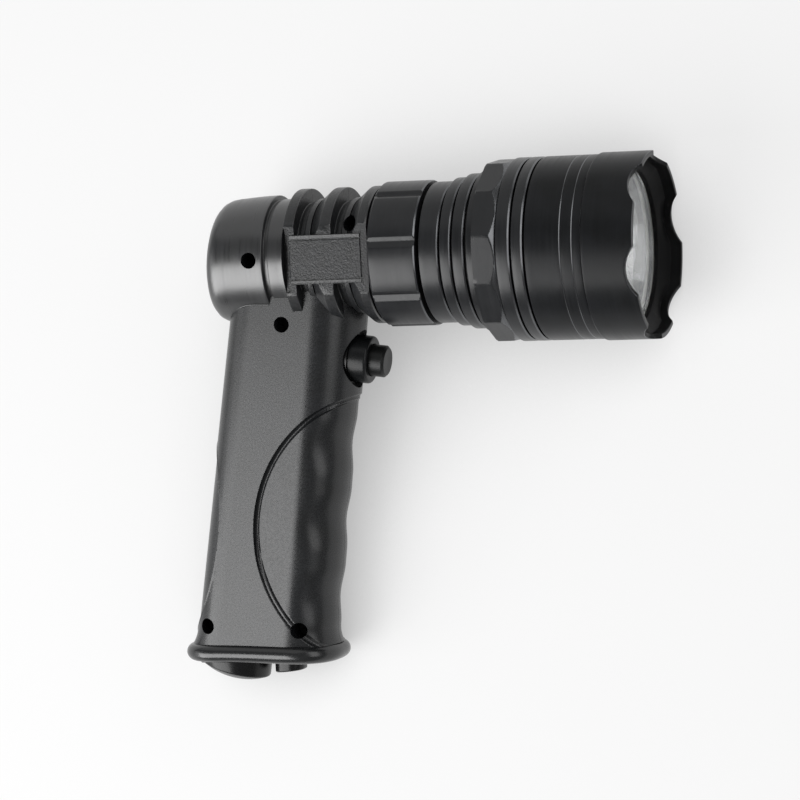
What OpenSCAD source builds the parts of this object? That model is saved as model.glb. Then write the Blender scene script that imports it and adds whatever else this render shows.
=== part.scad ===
// Pistol-grip searchlight, lying on its left side as it rests on a table.
// +X points along the beam, +Y is up when the light is held, +Z is its right side.
// Lengths along the beam are counted from the groove in front of the tail cap.

/* [Tail and clamp section] */
// Radius of the tail cap at its front edge
tail_r = 19.7; // [19:0.1:22]
// Loss of radius towards the rear of the tail cap
tail_draft = 0.5; // [0:0.1:1]
// Length of the tail cap behind the groove
tail_len = 20.1; // [18:0.1:26]
// Rounding of the tail cap's rear edge
tail_round = 4; // [1:0.5:6]
// Width of the groove in front of the tail cap
tail_groove_w = 1.4; // [0.8:0.1:2.5]
// Radius of the bottom of that groove
tail_groove_r = 18; // [17.5:0.1:18.5]
// Length of the plain shoulder between the groove and the first rib
shoulder_len = 6; // [4:0.1:9]
// Radius of that shoulder
shoulder_r = 18.4; // [17.8:0.1:18.4]
// Outer radius of the clamp ribs
rib_r = 21.4; // [20:0.1:22.3]
// Width of each rib
rib_w = 3.3; // [2.4:0.1:4.5]
// Distance from one rib to the next
rib_pitch = 12.1; // [11:0.1:14]
// Radius of the floor between the ribs
valley_r = 17; // [16.6:0.1:17.8]
// Distance of the flats on the ribs from the mid-plane
rib_flat = 18.5; // [18.5:0.1:19.5]
// Height of the rectangular pad on each side
pad_h = 15.2; // [10:0.1:17]
// Height of the pad above the flats
pad_proud = 0.4; // [0.2:0.1:1]
// Chamfer on the long edges of the pad
pad_chamfer = 1.2; // [0.3:0.1:1.5]
// Overlap of the pad on the third rib
pad_over = 0.6; // [0.3:0.1:1.2]
// Distance of the slot behind the pad from the first rib's rear edge
pad_slot_back = 0.8; // [0.4:0.1:1]
// Width of that slot
pad_slot_w = 2; // [1:0.1:2.4]
// Height of that slot
pad_slot_h = 20; // [12:0.1:21]
// Depth of that slot below the flats
pad_slot_depth = 2; // [1:0.1:2.4]
// Wall of the barrel under the floor between the ribs
barrel_wall = 2.2; // [1.8:0.1:2.5]
// Length of the first rib's sloped rear side
first_flank = 1.2; // [0.8:0.1:2]
// Length of the other ribs' sloped rear sides
rib_flank = 4.3; // [3:0.1:4.6]
// Radius of the low ring behind each of those slopes
crest_r = 18.1; // [17.6:0.1:18.4]
// Width of that ring
crest_w = 2; // [1.5:0.1:2.4]

/* [Grip] */
// Thickness of the grip between its flat sides
grip_t = 28.2; // [27.8:0.1:30]
// Width of the grip at the level where it leaves the barrel
grip_w = 43.2; // [43:0.1:46]
// Distance of the front edge from the tail groove at that level
grip_front = 26.3; // [25:0.1:28]
// Lean of the front edge in degrees
front_lean = 7.85; // [6:0.05:10]
// Lean of the rear edge in degrees
rear_lean = 9.6; // [9:0.1:13]
// Rounding of the two rear corners
rear_round = 10; // [7:0.1:12]
// Depth of the foot of the grip below the beam axis
grip_drop = 120.5; // [119:0.1:132]
// Wall of the grip
grip_wall = 2.4; // [1.8:0.1:2.8]
// Wall thickness at the rear of the grip, outside the palm step
rear_wall = 2.4; // [2.2:0.05:2.5]
// Depth of the finger panel below the front edge
panel_step = 0.95; // [0.4:0.05:1.5]
// Depth of the finger panel below the flat sides
panel_sink = 0.25; // [0.1:0.05:0.5]
// Radius of the arc that bounds the finger panel
panel_arc_r = 43.8; // [40:0.1:48]
// Distance of that arc's centre ahead of the tail groove
panel_arc_x = 35.1; // [32:0.1:38]
// Distance of that arc's centre below the beam axis
panel_arc_drop = 86.5; // [84:0.1:90]
// Width of the groove along the arc
panel_groove_w = 1.5; // [0.8:0.1:2.2]
// Depth of the groove along the arc
panel_groove_depth = 0.9; // [0.4:0.1:1.3]
// Number of finger hollows
finger_count = 3; // [2:1:3]
// Depth of each finger hollow
finger_depth = 0.9; // [0.4:0.05:1.4]
// Width of each finger hollow
finger_w = 13; // [9:0.5:18]
// Distance from one finger hollow to the next
finger_pitch = 23.8; // [20:0.1:25]
// Distance of the uppermost finger hollow below the beam axis
finger_drop = 59.1; // [57:0.5:63]
// Depth of the rear palm panel below the rear edge
palm_step = 0.55; // [0.3:0.05:0.9]
// Radius of the arc that bounds the palm panel
palm_arc_r = 78; // [70:1:90]
// Distance of the arc's foremost point behind the tail groove
palm_arc_x = 20.9; // [20:0.1:23]
// Distance of the arc's foremost point below the beam axis
palm_arc_drop = 74.7; // [70:0.1:79]

/* [Housing screws] */
// Radius of the deep screw recesses
recess_r = 2.5; // [2.2:0.05:2.8]
// Wall of the screw bosses round the recess
boss_wall = 1.2; // [0.8:0.1:1.5]
// Distance of the screw seats from the mid-plane
screw_seat = 4; // [3:0.1:6]
// Radius of the screw heads
screw_head_r = 2.2; // [1.8:0.05:2.4]
// Height of the screw heads
screw_head_h = 1.8; // [1.2:0.1:2.5]
// Radius of the screw shanks
screw_r = 1.1; // [0.8:0.05:1.3]
// Length of the screw shanks
screw_len = 12; // [9:0.5:13]
// Clearance of the shank in its pilot hole
screw_clear = 0.1; // [0.05:0.05:0.3]
// Distance of the tail screw behind the tail groove
tail_screw_x = 4.4; // [2:0.1:8]
// Height of the tail screw above the beam axis
tail_screw_y = 0.4; // [0:0.1:4]
// Distance of the clamp screw behind the third rib
rail_screw_x = 3.3; // [3:0.1:3.6]
// Height of the clamp screw above the beam axis
rail_screw_y = 10.6; // [10:0.1:11]
// Distance of the grip screw ahead of the tail groove
grip_screw_x = 3.4; // [0:0.1:5]
// Distance of the grip screw below the beam axis
grip_screw_y = 20.1; // [19.5:0.05:21]
// Distance of the rear foot screw from the rear edge
rear_foot_inset = 5.8; // [5.2:0.1:6]
// Height of the rear foot screw above the foot
rear_foot_lift = 5.9; // [5.8:0.1:6.4]
// Distance of the front foot screw from the front edge
front_foot_inset = 9.6; // [9.2:0.1:11]
// Height of the front foot screw above the foot
front_foot_lift = 4.25; // [4.1:0.05:4.6]

/* [Foot] */
// Radius of the bead round the base cap
bead_r = 2.7; // [2:0.1:3.2]
// Overhang of the bead behind the rear edge
bead_rear = 3.2; // [2.5:0.05:4]
// Overhang of the bead ahead of the front edge
bead_front = 1.6; // [1:0.1:3]
// Overhang of the bead beyond the flat sides
bead_side = 2.3; // [2:0.1:3.5]
// Thickness of the housing's ledge that traps the base cap
ledge_t = 1.5; // [1.2:0.1:2]
// Length of the opening in the ledge
ledge_len = 22.2; // [18:0.1:22.4]
// Width of the opening in the ledge
ledge_w = 16; // [12:0.1:17]
// Overlap of the base cap's inner flange on the ledge
cap_lip = 1.3; // [0.8:0.1:1.4]
// Thickness of the base cap's inner flange
cap_flange_t = 1.1; // [0.8:0.1:1.3]
// Gap round the base cap's neck
cap_gap = 0.2; // [0.1:0.05:0.3]

/* [Charging socket] */
// Distance of the socket from the rear foot screw
jack_x = 10.7; // [10.4:0.1:12]
// Radius of the socket's barrel
jack_r = 4; // [3.6:0.1:4.4]
// Radius of the socket's outer flange
jack_flange_r = 5; // [4.7:0.1:5.6]
// Thickness of the socket's outer flange
jack_flange_t = 1; // [0.6:0.1:1.2]
// Radius of the plug hole
plug_r = 2.8; // [2.6:0.05:3]
// Radius of the centre pin
plug_pin_r = 1; // [0.6:0.05:1.2]
// Depth of the plug hole
plug_depth = 9; // [7:0.1:9.6]
// Height of the socket above the outer flange
jack_h = 10.1; // [10:0.1:10.6]
// Depth of the round recess in the base
recess_depth = 2; // [1.8:0.1:2.6]
// Gap round the socket's flange in the recess
jack_gap = 0.4; // [0.2:0.05:0.6]
// Thickness of the socket's nut
jack_nut_t = 2; // [1.5:0.1:2.4]
// Corner radius of the socket's nut
jack_nut_r = 6; // [5.5:0.1:6.4]
// Thickness of the charging board
board_t = 1.4; // [0.8:0.1:1.4]
// Length of the charging board
board_len = 22; // [16:0.5:22]
// Width of the charging board
board_w = 18; // [12:0.5:19]

/* [Port cover] */
// Radius of the cover's domed face
cover_dome_r = 22; // [20:0.5:24]
// Depth of the cover below the base
cover_depth = 6.7; // [6:0.1:9]
// Radius of the cover where it meets the base
cover_r = 11.3; // [10.8:0.1:11.5]
// Loss of radius down the cover's side wall
cover_taper = 1.5; // [0.5:0.1:2.5]
// Distance of the cover's lowest point from its centre
cover_lean = 5.2; // [4:0.1:6]
// Distance of the cover's centre behind the socket
cover_back = 5.7; // [5:0.1:6.2]
// Gap between the cover and the base
cover_gap = 0.2; // [0.1:0.05:0.4]
// Thickness of the cover's strap
strap_t = 1.3; // [1:0.1:1.6]
// Width of the cover's strap
strap_w = 9; // [7:0.5:12]
// Length of the strap from the hinge line to the cover
strap_len = 2; // [1.5:0.1:3]
// Gap between the strap's rolled end and its root
hinge_gap = 0.3; // [0.2:0.05:0.4]
// Length of the strap's root
root_len = 1.6; // [1.2:0.1:1.9]
// Radius of the cover's stub
stub_r = 4.2; // [3:0.1:4.4]
// Gap between the cover's stub and the socket
stub_gap = 0.3; // [0.2:0.05:0.5]
// Gap between the cover and the lug
lug_gap = 1.5; // [1:0.1:2]
// Length of the lug
lug_len = 10; // [6:0.1:11]
// Width of the lug
lug_w = 10; // [6:0.5:14]
// Depth of the lug at its rear end
lug_h = 4.6; // [3:0.1:6]
// Rise of the lug's lower face towards its front end
lug_rise = 0.8; // [0:0.1:1.5]

/* [Cells] */
// Radius of each cell
cell_r = 9.05; // [8.8:0.05:9.1]
// Length of each cell with its end contact
cell_len = 65.2; // [63:0.1:66]
// Radius of the end contact
cell_tip_r = 2.8; // [2:0.1:3.5]
// Height of the end contact
cell_tip_h = 0.8; // [0.5:0.1:1.2]
// Gap between the two cells
cell_gap = 0.1; // [0.05:0.05:0.15]
// Distance of the front cell's axis ahead of the cavity's front rounding centre
cell_forward = 2.4; // [2.2:0.05:2.45]
// Height of the cells above the foot
cell_lift = 9.35; // [9.2:0.05:9.8]
// Thickness of the nickel strips
strip_t = 0.25; // [0.15:0.05:0.3]
// Width of the nickel strips
strip_w = 8; // [5:0.5:10]
// Overhang of the strips past the cell axes
strip_over = 4; // [2:0.5:5]
// Gap on each side of the foam pads
foam_gap = 0.15; // [0.05:0.05:0.3]
// Length of the foam pads
foam_len = 48; // [30:1:52]
// Width of the foam pads
foam_w = 16; // [10:0.5:17]

/* [Push switch] */
// Distance of the switch axis below the beam axis, at the front edge
switch_drop = 32.4; // [32:0.1:34]
// Radius of the round seat cut in the grip
seat_r = 9.1; // [8.5:0.1:9.6]
// Wall behind the seat
seat_wall = 2.4; // [1.8:0.1:2.6]
// Outer radius of the collar
collar_r = 7.5; // [7:0.1:8.2]
// Length of the collar
collar_len = 6.1; // [4.5:0.1:7]
// Rounding of the collar's front edge
collar_round = 1; // [0.5:0.1:1.2]
// Radius of the threaded barrel
switch_barrel_r = 5.95; // [5.9:0.05:6.2]
// Length of the threaded barrel
switch_barrel_len = 11.2; // [10.5:0.1:11.4]
// Radius of the button
button_r = 5; // [4:0.05:5]
// Length of the button outside the collar
button_out = 4.9; // [3.5:0.1:6]
// Length of the button inside the collar
button_in = 7.3; // [5:0.1:7.5]
// Chamfer of the button's end
button_chamfer = 0.7; // [0.3:0.1:1]
// Running clearance round the button
button_fit = 0.06; // [0.03:0.01:0.1]
// Travel of the button
button_travel = 2.2; // [1.5:0.1:2.3]
// Radius of the button's stem
stem_r = 1.8; // [1.2:0.1:2]
// Length of the button's stem
stem_len = 11.5; // [11:0.1:11.6]
// Outer radius of the return spring
spring_r = 4.2; // [3.4:0.1:4.4]
// Thickness of the return spring
spring_wire = 1.4; // [0.8:0.1:1.6]
// Length of the return spring
spring_len = 7.3; // [5:0.1:7.5]
// Thickness of the sealing washer
seal_t = 0.8; // [0.5:0.1:1]
// Outer radius of the sealing washer
seal_r = 8.2; // [7.6:0.1:8.4]
// Gap of the barrel in its hole
switch_gap = 0.15; // [0.05:0.05:0.3]
// Thickness of the switch nut
switch_nut_t = 2.4; // [1.5:0.1:3]
// Corner radius of the switch nut
switch_nut_r = 9.2; // [8:0.1:9.2]
// Gap round the switch nut in its pocket
nut_room = 0.3; // [0.2:0.05:0.3]
// Depth of the switch nut's pocket
nut_pocket = 4; // [3.6:0.1:5]
// Length of the contact block
block_len = 5.5; // [5:0.1:5.8]
// Depth of the stem's hole in the contact block
block_hole = 4; // [4:0.1:4.5]
// Gap round the stem in the contact block
stem_gap = 0.3; // [0.2:0.05:0.5]
// Length of the solder tags
tag_len = 4; // [2.5:0.1:4.5]
// Width of the solder tags
tag_w = 2; // [1.5:0.1:2.6]
// Thickness of the solder tags
tag_t = 0.8; // [0.5:0.1:1]
// Distance of the solder tags from the switch axis
tag_z = 3; // [2:0.1:4]

/* [Fluted neck ring] */
// Gap between the housing and the neck ring
ring_seam = 0.5; // [0.3:0.05:0.8]
// Outer radius of the ring
ring_r = 22.55; // [21:0.05:24]
// Length of the ring
ring_len = 16.3; // [12:0.1:20]
// Chamfer of the ring's edges
ring_chamfer = 0.7; // [0.3:0.1:1.2]
// Number of flutes
flute_count = 8; // [6:1:12]
// Width of each flute
flute_w = 2.9; // [1.5:0.1:4]
// Depth of each flute
flute_depth = 1; // [0.5:0.1:1.5]
// Turn of the first flute from the right side, in degrees
flute_turn = 8.1; // [0:0.1:45]
// Radius of the spigot's neck in the housing
spigot_r = 10; // [8:0.1:10.5]
// Gap round the spigot's neck
spigot_gap = 0.2; // [0.1:0.05:0.3]
// Thickness of the spigot's trapped flange
spigot_flange_t = 3; // [2:0.1:3.5]
// Gap round the trapped flange
spigot_flange_gap = 0.3; // [0.2:0.05:0.5]
// Radius of the wire bore
wire_bore_r = 4; // [3.4:0.1:5]
// Thickness of the ring's rear wall
ring_wall = 4.6; // [3:0.1:6]
// Radius of the threaded front of the ring
neck_thread_r = 18.3; // [17.5:0.1:18.8]
// Length of the threaded front of the ring
neck_thread_len = 6.8; // [5:0.1:7]
// Wall of the threaded front
neck_thread_wall = 2.8; // [2.6:0.1:3.4]
// Radius of the O-ring's section
oring_r = 0.85; // [0.6:0.05:0.9]
// Distance of the O-ring ahead of the ring's front face
oring_x = 2.2; // [1.8:0.1:2.6]
// Height of the O-ring above its groove
oring_proud = 0.1; // [0.05:0.05:0.15]

/* [Head shell] */
// Radius of the head's plain neck
neck_r = 21.9; // [21:0.1:23]
// Length of the head's plain neck
neck_len = 5.8; // [4:0.1:8]
// Growth in radius from the neck to each fin
fin_step = 1.05; // [0.5:0.05:1.2]
// Width of the grooves between the fins
fin_gap = 1.05; // [0.6:0.05:1.5]
// Depth of the grooves below the lower neighbour
fin_groove = 1; // [0.5:0.1:1.3]
// Width of the first fin
fin_a_w = 2.95; // [2:0.05:4]
// Width of the second fin
fin_b_w = 3.55; // [2:0.05:4]
// Width of the shoulder behind the collar
fin_c_w = 4.15; // [3:0.05:6]
// Reach of the twelve-sided collar's corners beyond the head
nut_over = 0.1; // [0.05:0.05:0.4]
// Width of the collar's flats
nut_w = 7.1; // [5:0.1:9]
// Chamfer of the collar's rear edge
nut_edge = 0.3; // [0.2:0.1:0.5]
// Width of the collar's conical front edge
nut_bevel = 1.5; // [0.8:0.1:2]
// Turn of the first corner from the right side, in degrees
nut_turn = 4.6; // [0:0.1:30]
// Radius of the head behind the bezel
head_r = 28.3; // [28:0.05:28.7]
// Width of the ring between collar and first groove
head_ring_w = 2.4; // [1.5:0.1:4]
// Width of the two deep grooves
head_groove_w = 1.2; // [0.8:0.1:2]
// Depth of the two deep grooves
head_groove_depth = 2; // [1:0.1:2.2]
// Width of the land between the two deep grooves
head_land_w = 3.4; // [2:0.1:5]
// Length of the tube ahead of the grooves
tube_len = 17.6; // [16.5:0.1:22]
// Distance of the first fine line behind the bezel joint
line_a = 6.9; // [6.2:0.1:7.5]
// Distance of the second fine line behind the bezel joint
line_b = 3.1; // [2:0.1:4]
// Width of the fine lines
line_w = 0.4; // [0.2:0.05:0.6]
// Depth of the fine lines
line_depth = 0.35; // [0.2:0.05:0.5]
// Clearance of the threads, radial
thread_gap = 0.2; // [0.1:0.05:0.3]
// Free run at the end of the bezel's thread
thread_run = 0.3; // [0.2:0.1:0.5]
// Step from the bezel's bore in to the reflector's cavity
cavity_step = 1.5; // [1:0.1:2]
// Wall of the head round the bezel's thread
head_wall = 1.3; // [1.1:0.05:1.5]
// Radius of the hole in the head's shelf
shelf_r = 14; // [12:0.1:15]
// Thickness of the head's shelf
shelf_t = 4; // [3:0.1:4.5]
// Distance of the shelf's rear face behind the third step
shelf_back = 0.6; // [0.4:0.1:0.8]

/* [Bezel] */
// Step from the head out to the bezel
bezel_step = 0.5; // [0.4:0.05:1.5]
// Length of the bezel ahead of its joint
bezel_len = 16.2; // [15:0.1:18]
// Length of the bezel's threaded rear
bezel_thread_len = 6.6; // [5:0.1:6.7]
// Wall of the bezel's threaded rear
sleeve_t = 1.3; // [1.1:0.05:1.4]
// Width of the lip in front of the glass
lip_w = 2.1; // [1.5:0.1:3]
// Thickness of the bezel's teeth
tooth_t = 1.6; // [1.2:0.1:2.3]
// Depth of the wide mouth behind the tips
mouth_depth = 3.5; // [2:0.1:4.5]
// Distance of the glass behind the tips
glass_depth = 7.8; // [7:0.1:9]
// Thickness of the lip in front of the glass
lip_t = 1.4; // [0.8:0.1:2]
// Number of scallops
scallop_count = 6; // [4:1:8]
// Width of each scallop
scallop_w = 16; // [10:0.5:18]
// Depth of each scallop
scallop_depth = 2.8; // [1.5:0.1:3.2]
// Turn of the first scallop from the right side, in degrees
scallop_turn = 34.6; // [0:0.1:60]
// Chamfer of the bezel's edges
bezel_chamfer = 0.4; // [0.2:0.1:0.8]

/* [Optics and driver] */
// Thickness of the glass
glass_t = 1.95; // [1.5:0.05:2.5]
// Gap round the glass and its neighbours
glass_gap = 0.2; // [0.1:0.05:0.3]
// Gap at faces that are clamped together
stack_gap = 0.05; // [0.02:0.01:0.1]
// Thickness of the glass gasket
gasket_t = 0.75; // [0.5:0.05:1]
// Thickness of the reflector's rim
rim_t = 1; // [0.7:0.1:1.5]
// Width of the reflector's rim
rim_w = 1.2; // [1:0.1:1.7]
// Wall of the reflector
mirror_wall = 1.2; // [0.8:0.1:1.5]
// Thickness of the heat sink's disc
pill_t = 4.4; // [3:0.1:4.5]
// Depth of the heat sink's skirt
pill_skirt = 2.8; // [2:0.1:2.9]
// Wall of the heat sink's skirt
pill_wall = 1.4; // [1:0.1:1.8]
// Radius of the LED board
led_board_r = 10; // [9.6:0.1:12]
// Thickness of the LED board
led_board_t = 1.6; // [1:0.1:2]
// Width of the square emitter
led_w = 5; // [3.4:0.1:5.2]
// Height of the emitter's base
led_h = 0.9; // [0.6:0.05:1]
// Height of the mirror's focus above the emitter's base
focus_lift = 0.3; // [0.1:0.1:0.6]
// Radius of the emitter's dome
led_dome_r = 2; // [1.4:0.1:2.4]
// Radius of the centring ring's flange
holder_r = 7; // [6.8:0.1:7.4]
// Thickness of the centring ring's flange
holder_t = 0.8; // [0.5:0.05:0.85]
// Height of the centring ring's spigot
holder_h = 1.3; // [0.8:0.1:1.6]
// Inner radius of the centring ring
holder_bore_r = 3.8; // [3.75:0.05:4.2]
// Thickness of the driver board
driver_t = 1.6; // [1:0.1:1.8]
// Gap round the driver board
driver_gap = 0.2; // [0.1:0.05:0.3]
// Radius of the driver's coil
coil_r = 3.5; // [2.5:0.1:4]
// Height of the driver's coil
coil_h = 4.5; // [3:0.1:6]
// Distance of the coil from the beam axis
coil_z = 8; // [7.5:0.1:9]
// Width of the driver's chip
chip_w = 5; // [3:0.1:6]
// Length of the driver's chip
chip_len = 4; // [3:0.1:5]
// Thickness of the driver's chip
chip_t = 1.6; // [1:0.1:2]
// Distance of the chip from the beam axis
chip_z = 8; // [7:0.1:9]
// Distance of the LED leads from the beam axis
led_lead_y = 8.5; // [8.4:0.1:8.6]
// Radius of the LED leads
led_lead_r = 0.7; // [0.5:0.05:0.8]
// Gap round the LED leads in the boards
lead_gap = 0.1; // [0.05:0.05:0.2]
// Gap round the LED leads in the heat sink
lead_clear = 0.5; // [0.3:0.1:0.8]
// Length of the LED leads' ends beyond the boards
lead_end = 0.3; // [0.2:0.1:0.5]
// Radius of the long leads
lead_r = 0.8; // [0.5:0.05:0.9]
// Distance of the long leads from the middle of the grip, beside the cells
lead_z = 7; // [6.5:0.1:7.4]
// Size of the long leads' bends
lead_turn = 2.5; // [2.4:0.1:2.6]

/* [Hidden] */
$fn = 96;
// Longer than any piece, for cuts that pass right through
reach = 200;
// Overrun of a cut past the face that it starts from
over = 1;
// Small overlap or setback that keeps two faces from lying in one plane
skin = 0.2;

// Stations along the beam, from the tail groove forwards
rib_a = tail_groove_w + shoulder_len;
rib_b = rib_a + rib_pitch;
rib_c = rib_b + rib_pitch;
barrel_end = rib_c + rib_w;
ring_u = barrel_end + ring_seam;
head_u = ring_u + ring_len;
fin_a_u = head_u + neck_len + fin_gap;
fin_b_u = fin_a_u + fin_a_w + fin_gap;
fin_c_u = fin_b_u + fin_b_w + fin_gap;
nut_u = fin_c_u + fin_c_w;
head_ring_u = nut_u + nut_w + nut_bevel;
groove_a_u = head_ring_u + head_ring_w;
groove_b_u = groove_a_u + head_groove_w + head_land_w;
tube_u = groove_b_u + head_groove_w;
bezel_u = tube_u + tube_len;
tip_u = bezel_u + bezel_len;

// Inner sizes of the housing
tail_rear_r = tail_r - tail_draft;
core_r = valley_r - barrel_wall;
grip_half = grip_t / 2;
core_half = grip_half - grip_wall;
// The grip's width and front edge are given at this level below the beam axis
grip_ref = 20;
front_inset = grip_wall + panel_step + finger_depth;
finger_r = (finger_w * finger_w / 4 + finger_depth * finger_depth) / (2 * finger_depth);
// Extra radius of a finger hollow round the grip's nose, so that it fades out on the sides
finger_fade = 0.5;
foot_y = -grip_drop;
boss_r = recess_r + boss_wall;
// The grip's hollow ends this far below the beam axis, inside the barrel's own hollow
hollow_top = 5;
pad_slot_u = rib_a - pad_slot_back;
pad_start = pad_slot_u + pad_slot_w;
pad_end = rib_c + pad_over;
pad_root = core_r + skin;

function edge_front(y) = grip_front + tan(front_lean) * (y + grip_ref);
function edge_rear(y) = grip_front - grip_w + tan(rear_lean) * (y + grip_ref);

rear_foot_y = foot_y + rear_foot_lift;
front_foot_y = foot_y + front_foot_lift;
rear_foot_x = edge_rear(rear_foot_y) + rear_foot_inset;
front_foot_x = edge_front(front_foot_y) - front_foot_inset;
screw_spots = [
    [-tail_screw_x, tail_screw_y],
    [rib_c - rail_screw_x, rail_screw_y],
    [grip_screw_x, -grip_screw_y],
    [rear_foot_x, rear_foot_y],
    [front_foot_x, front_foot_y]
];

// Foot, socket and cover
bead_half = grip_half + bead_side;
base_rear_x = edge_rear(foot_y) - bead_rear;
base_front_x = edge_front(foot_y) + bead_front;
base_y = foot_y - 2 * bead_r;
bead_y = foot_y - bead_r;
rear_turn_r = rear_round + bead_side - bead_r;
ledge_x = rear_foot_x + boss_r;
jack_u = rear_foot_x + jack_x;
jack_seat_y = base_y + recess_depth;
cap_top_y = foot_y + ledge_t + cap_gap / 2 + cap_flange_t;
board_y = jack_seat_y + jack_h;
cover_x = jack_u - cover_back;
cover_top_y = base_y - cover_gap;
cover_low_y = base_y - cover_depth;
hinge_x = cover_x - cover_r + strap_t / 2;
hinge_y = cover_top_y - strap_t / 2;
lug_x = cover_x + cover_r + lug_gap;

// Cells, in a frame of their own along the front edge
cell_step = 2 * cell_r + cell_gap;
cell_base_y = foot_y + cell_lift;
cell_in = cell_forward - front_inset - core_half;
strip_top = cell_len + strip_t;

// Push switch, counted outwards from the front edge along its own axis
seat_u = -(grip_half - sqrt(grip_half * grip_half - seat_r * seat_r));
collar_u = seat_u + seal_t;
collar_end = collar_u + collar_len;
block_u = collar_u - switch_barrel_len;
tag_u = block_u - block_len - tag_len;
button_end = collar_end + button_out;
button_rear = button_end - button_out - button_in;
collar_bore_r = button_r + button_fit;
nut_flat = switch_nut_r * cos(30);

// Head, from the glass backwards
glass_u = tip_u - glass_depth;
bezel_r = head_r + bezel_step;
nut_r = head_r + nut_over;
bezel_thread_r = head_r - head_wall - thread_gap;
bezel_bore_r = bezel_thread_r - sleeve_t;
cavity_r = bezel_bore_r - cavity_step;
opening_r = bezel_bore_r - lip_w;
tooth_r = bezel_r - tooth_t;
glass_r = bezel_bore_r - glass_gap;
mirror_r = glass_r - rim_w;
gasket_u = glass_u - glass_t - stack_gap;
rim_u = gasket_u - gasket_t - stack_gap;
shelf_u = fin_c_u - shelf_back;
pill_u = shelf_u - 2 * stack_gap - pill_t;
pill_r = neck_thread_r;
head_bore_r = neck_thread_r + thread_gap;
led_board_u = shelf_u + shelf_t - 2 * stack_gap;
led_u = led_board_u + led_board_t;
focus_u = led_u + led_h + focus_lift;
mirror_rear_u = led_u + led_h;
mirror_focal = (sqrt(pow(rim_u - focus_u, 2) + mirror_r * mirror_r) - (rim_u - focus_u)) / 2;
mirror_vertex = focus_u - mirror_focal;
mirror_steps = 14;
nut_sides = 12;
thread_end_u = bezel_u - bezel_thread_len - thread_run;
driver_u = pill_u - driver_t - 2 * stack_gap;
oring_u = head_u + oring_x;
oring_floor = neck_thread_r + oring_proud - 2 * oring_r;

// The origin is under the middle of the whole light, on the surface that it lies on
mid_x = (base_rear_x + tip_u) / 2;
mid_y = (cover_low_y + bezel_r) / 2;

function arc(cx, cy, r, a0, a1, n = 8) =
    [for (i = [0:n]) let (a = a0 + (a1 - a0) * i / n) [cx + r * cos(a), cy + r * sin(a)]];
function mirror_at(u) = sqrt(4 * mirror_focal * (u - mirror_vertex));

module place() {
    translate([-mid_x, -mid_y, bezel_r])
        children();
}

// Turns an outline of [station, radius] points round the X axis
module turned(outline) {
    rotate([0, 90, 0])
        rotate_extrude()
            polygon([for (p = outline) [p[1], p[0]]]);
}

// A plain ring between two stations and two radii
module tube(u0, u1, r0, r1) {
    turned([[u0, r0], [u0, r1], [u1, r1], [u1, r0]]);
}

// Turns children from the right side towards the top by an angle
module around(angle) {
    rotate([-angle, 0, 0])
        children();
}

module on_front_edge(y) {
    translate([edge_front(y), y, 0])
        rotate([0, 0, -front_lean])
            children();
}

module on_rear_edge(y) {
    translate([edge_rear(y), y, 0])
        rotate([0, 0, -rear_lean])
            children();
}

// Endless bar along the front edge, rounded at the front, its nose set back from the edge
module front_bar(back, half) {
    on_front_edge(grip_ref)
        rotate([90, 0, 0])
            linear_extrude(reach) {
                translate([-half - back, 0])
                    circle(half);
                translate([-reach / 2, -half])
                    square([reach / 2 - half - back, 2 * half]);
            }
}

// Endless bar along the rear edge with two rounded corners
module rear_bar(back, half, corner) {
    on_rear_edge(grip_ref)
        rotate([90, 0, 0])
            linear_extrude(reach) {
                for (s = [-1, 1])
                    translate([back + corner, s * (half - corner)])
                        circle(corner);
                translate([back, corner - half])
                    square([reach / 2, 2 * (half - corner)]);
                translate([back + corner, -half])
                    square([reach / 2, 2 * half]);
            }
}

module panel_disc(r) {
    translate([panel_arc_x, -panel_arc_drop, -reach / 2])
        cylinder(r = r, h = reach);
}

module palm_disc() {
    translate([-palm_arc_x - palm_arc_r, -palm_arc_drop, -reach / 2])
        cylinder(r = palm_arc_r, h = reach);
}

module finger_hollow(y) {
    on_front_edge(y)
        translate([-grip_half - panel_step - finger_depth - finger_fade, 0, 0])
            rotate([90, 90, 0])
                rotate_extrude(angle = 180)
                    translate([grip_half + finger_fade + finger_r, 0])
                        circle(finger_r);
}

module grip_outer() {
    difference() {
        intersection() {
            front_bar(0, grip_half);
            rear_bar(0, grip_half, rear_round);
            translate([-reach / 2, foot_y, -grip_t])
                cube([reach, grip_drop, 2 * grip_t]);
        }
        difference() {
            panel_disc(panel_arc_r);
            front_bar(panel_step, grip_half - panel_sink);
        }
        for (i = [0:finger_count - 1])
            finger_hollow(-finger_drop - i * finger_pitch);
        difference() {
            palm_disc();
            rear_bar(palm_step, grip_half - panel_sink, rear_round - panel_sink);
        }
        difference() {
            panel_disc(panel_arc_r + panel_groove_w / 2);
            panel_disc(panel_arc_r - panel_groove_w / 2);
            translate([-reach / 2, -reach, panel_groove_depth - grip_half])
                cube([reach, 2 * reach, grip_t - 2 * panel_groove_depth]);
        }
    }
}

// Outline from the front edge of the rib at a to the rear edge of the rib at b
function rib_gap(a, b) = [
    [a + rib_w, rib_r], [a + rib_w, valley_r], [b - rib_flank - crest_w, valley_r],
    [b - rib_flank - crest_w, crest_r], [b - rib_flank, crest_r], [b, rib_r]
];

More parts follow.
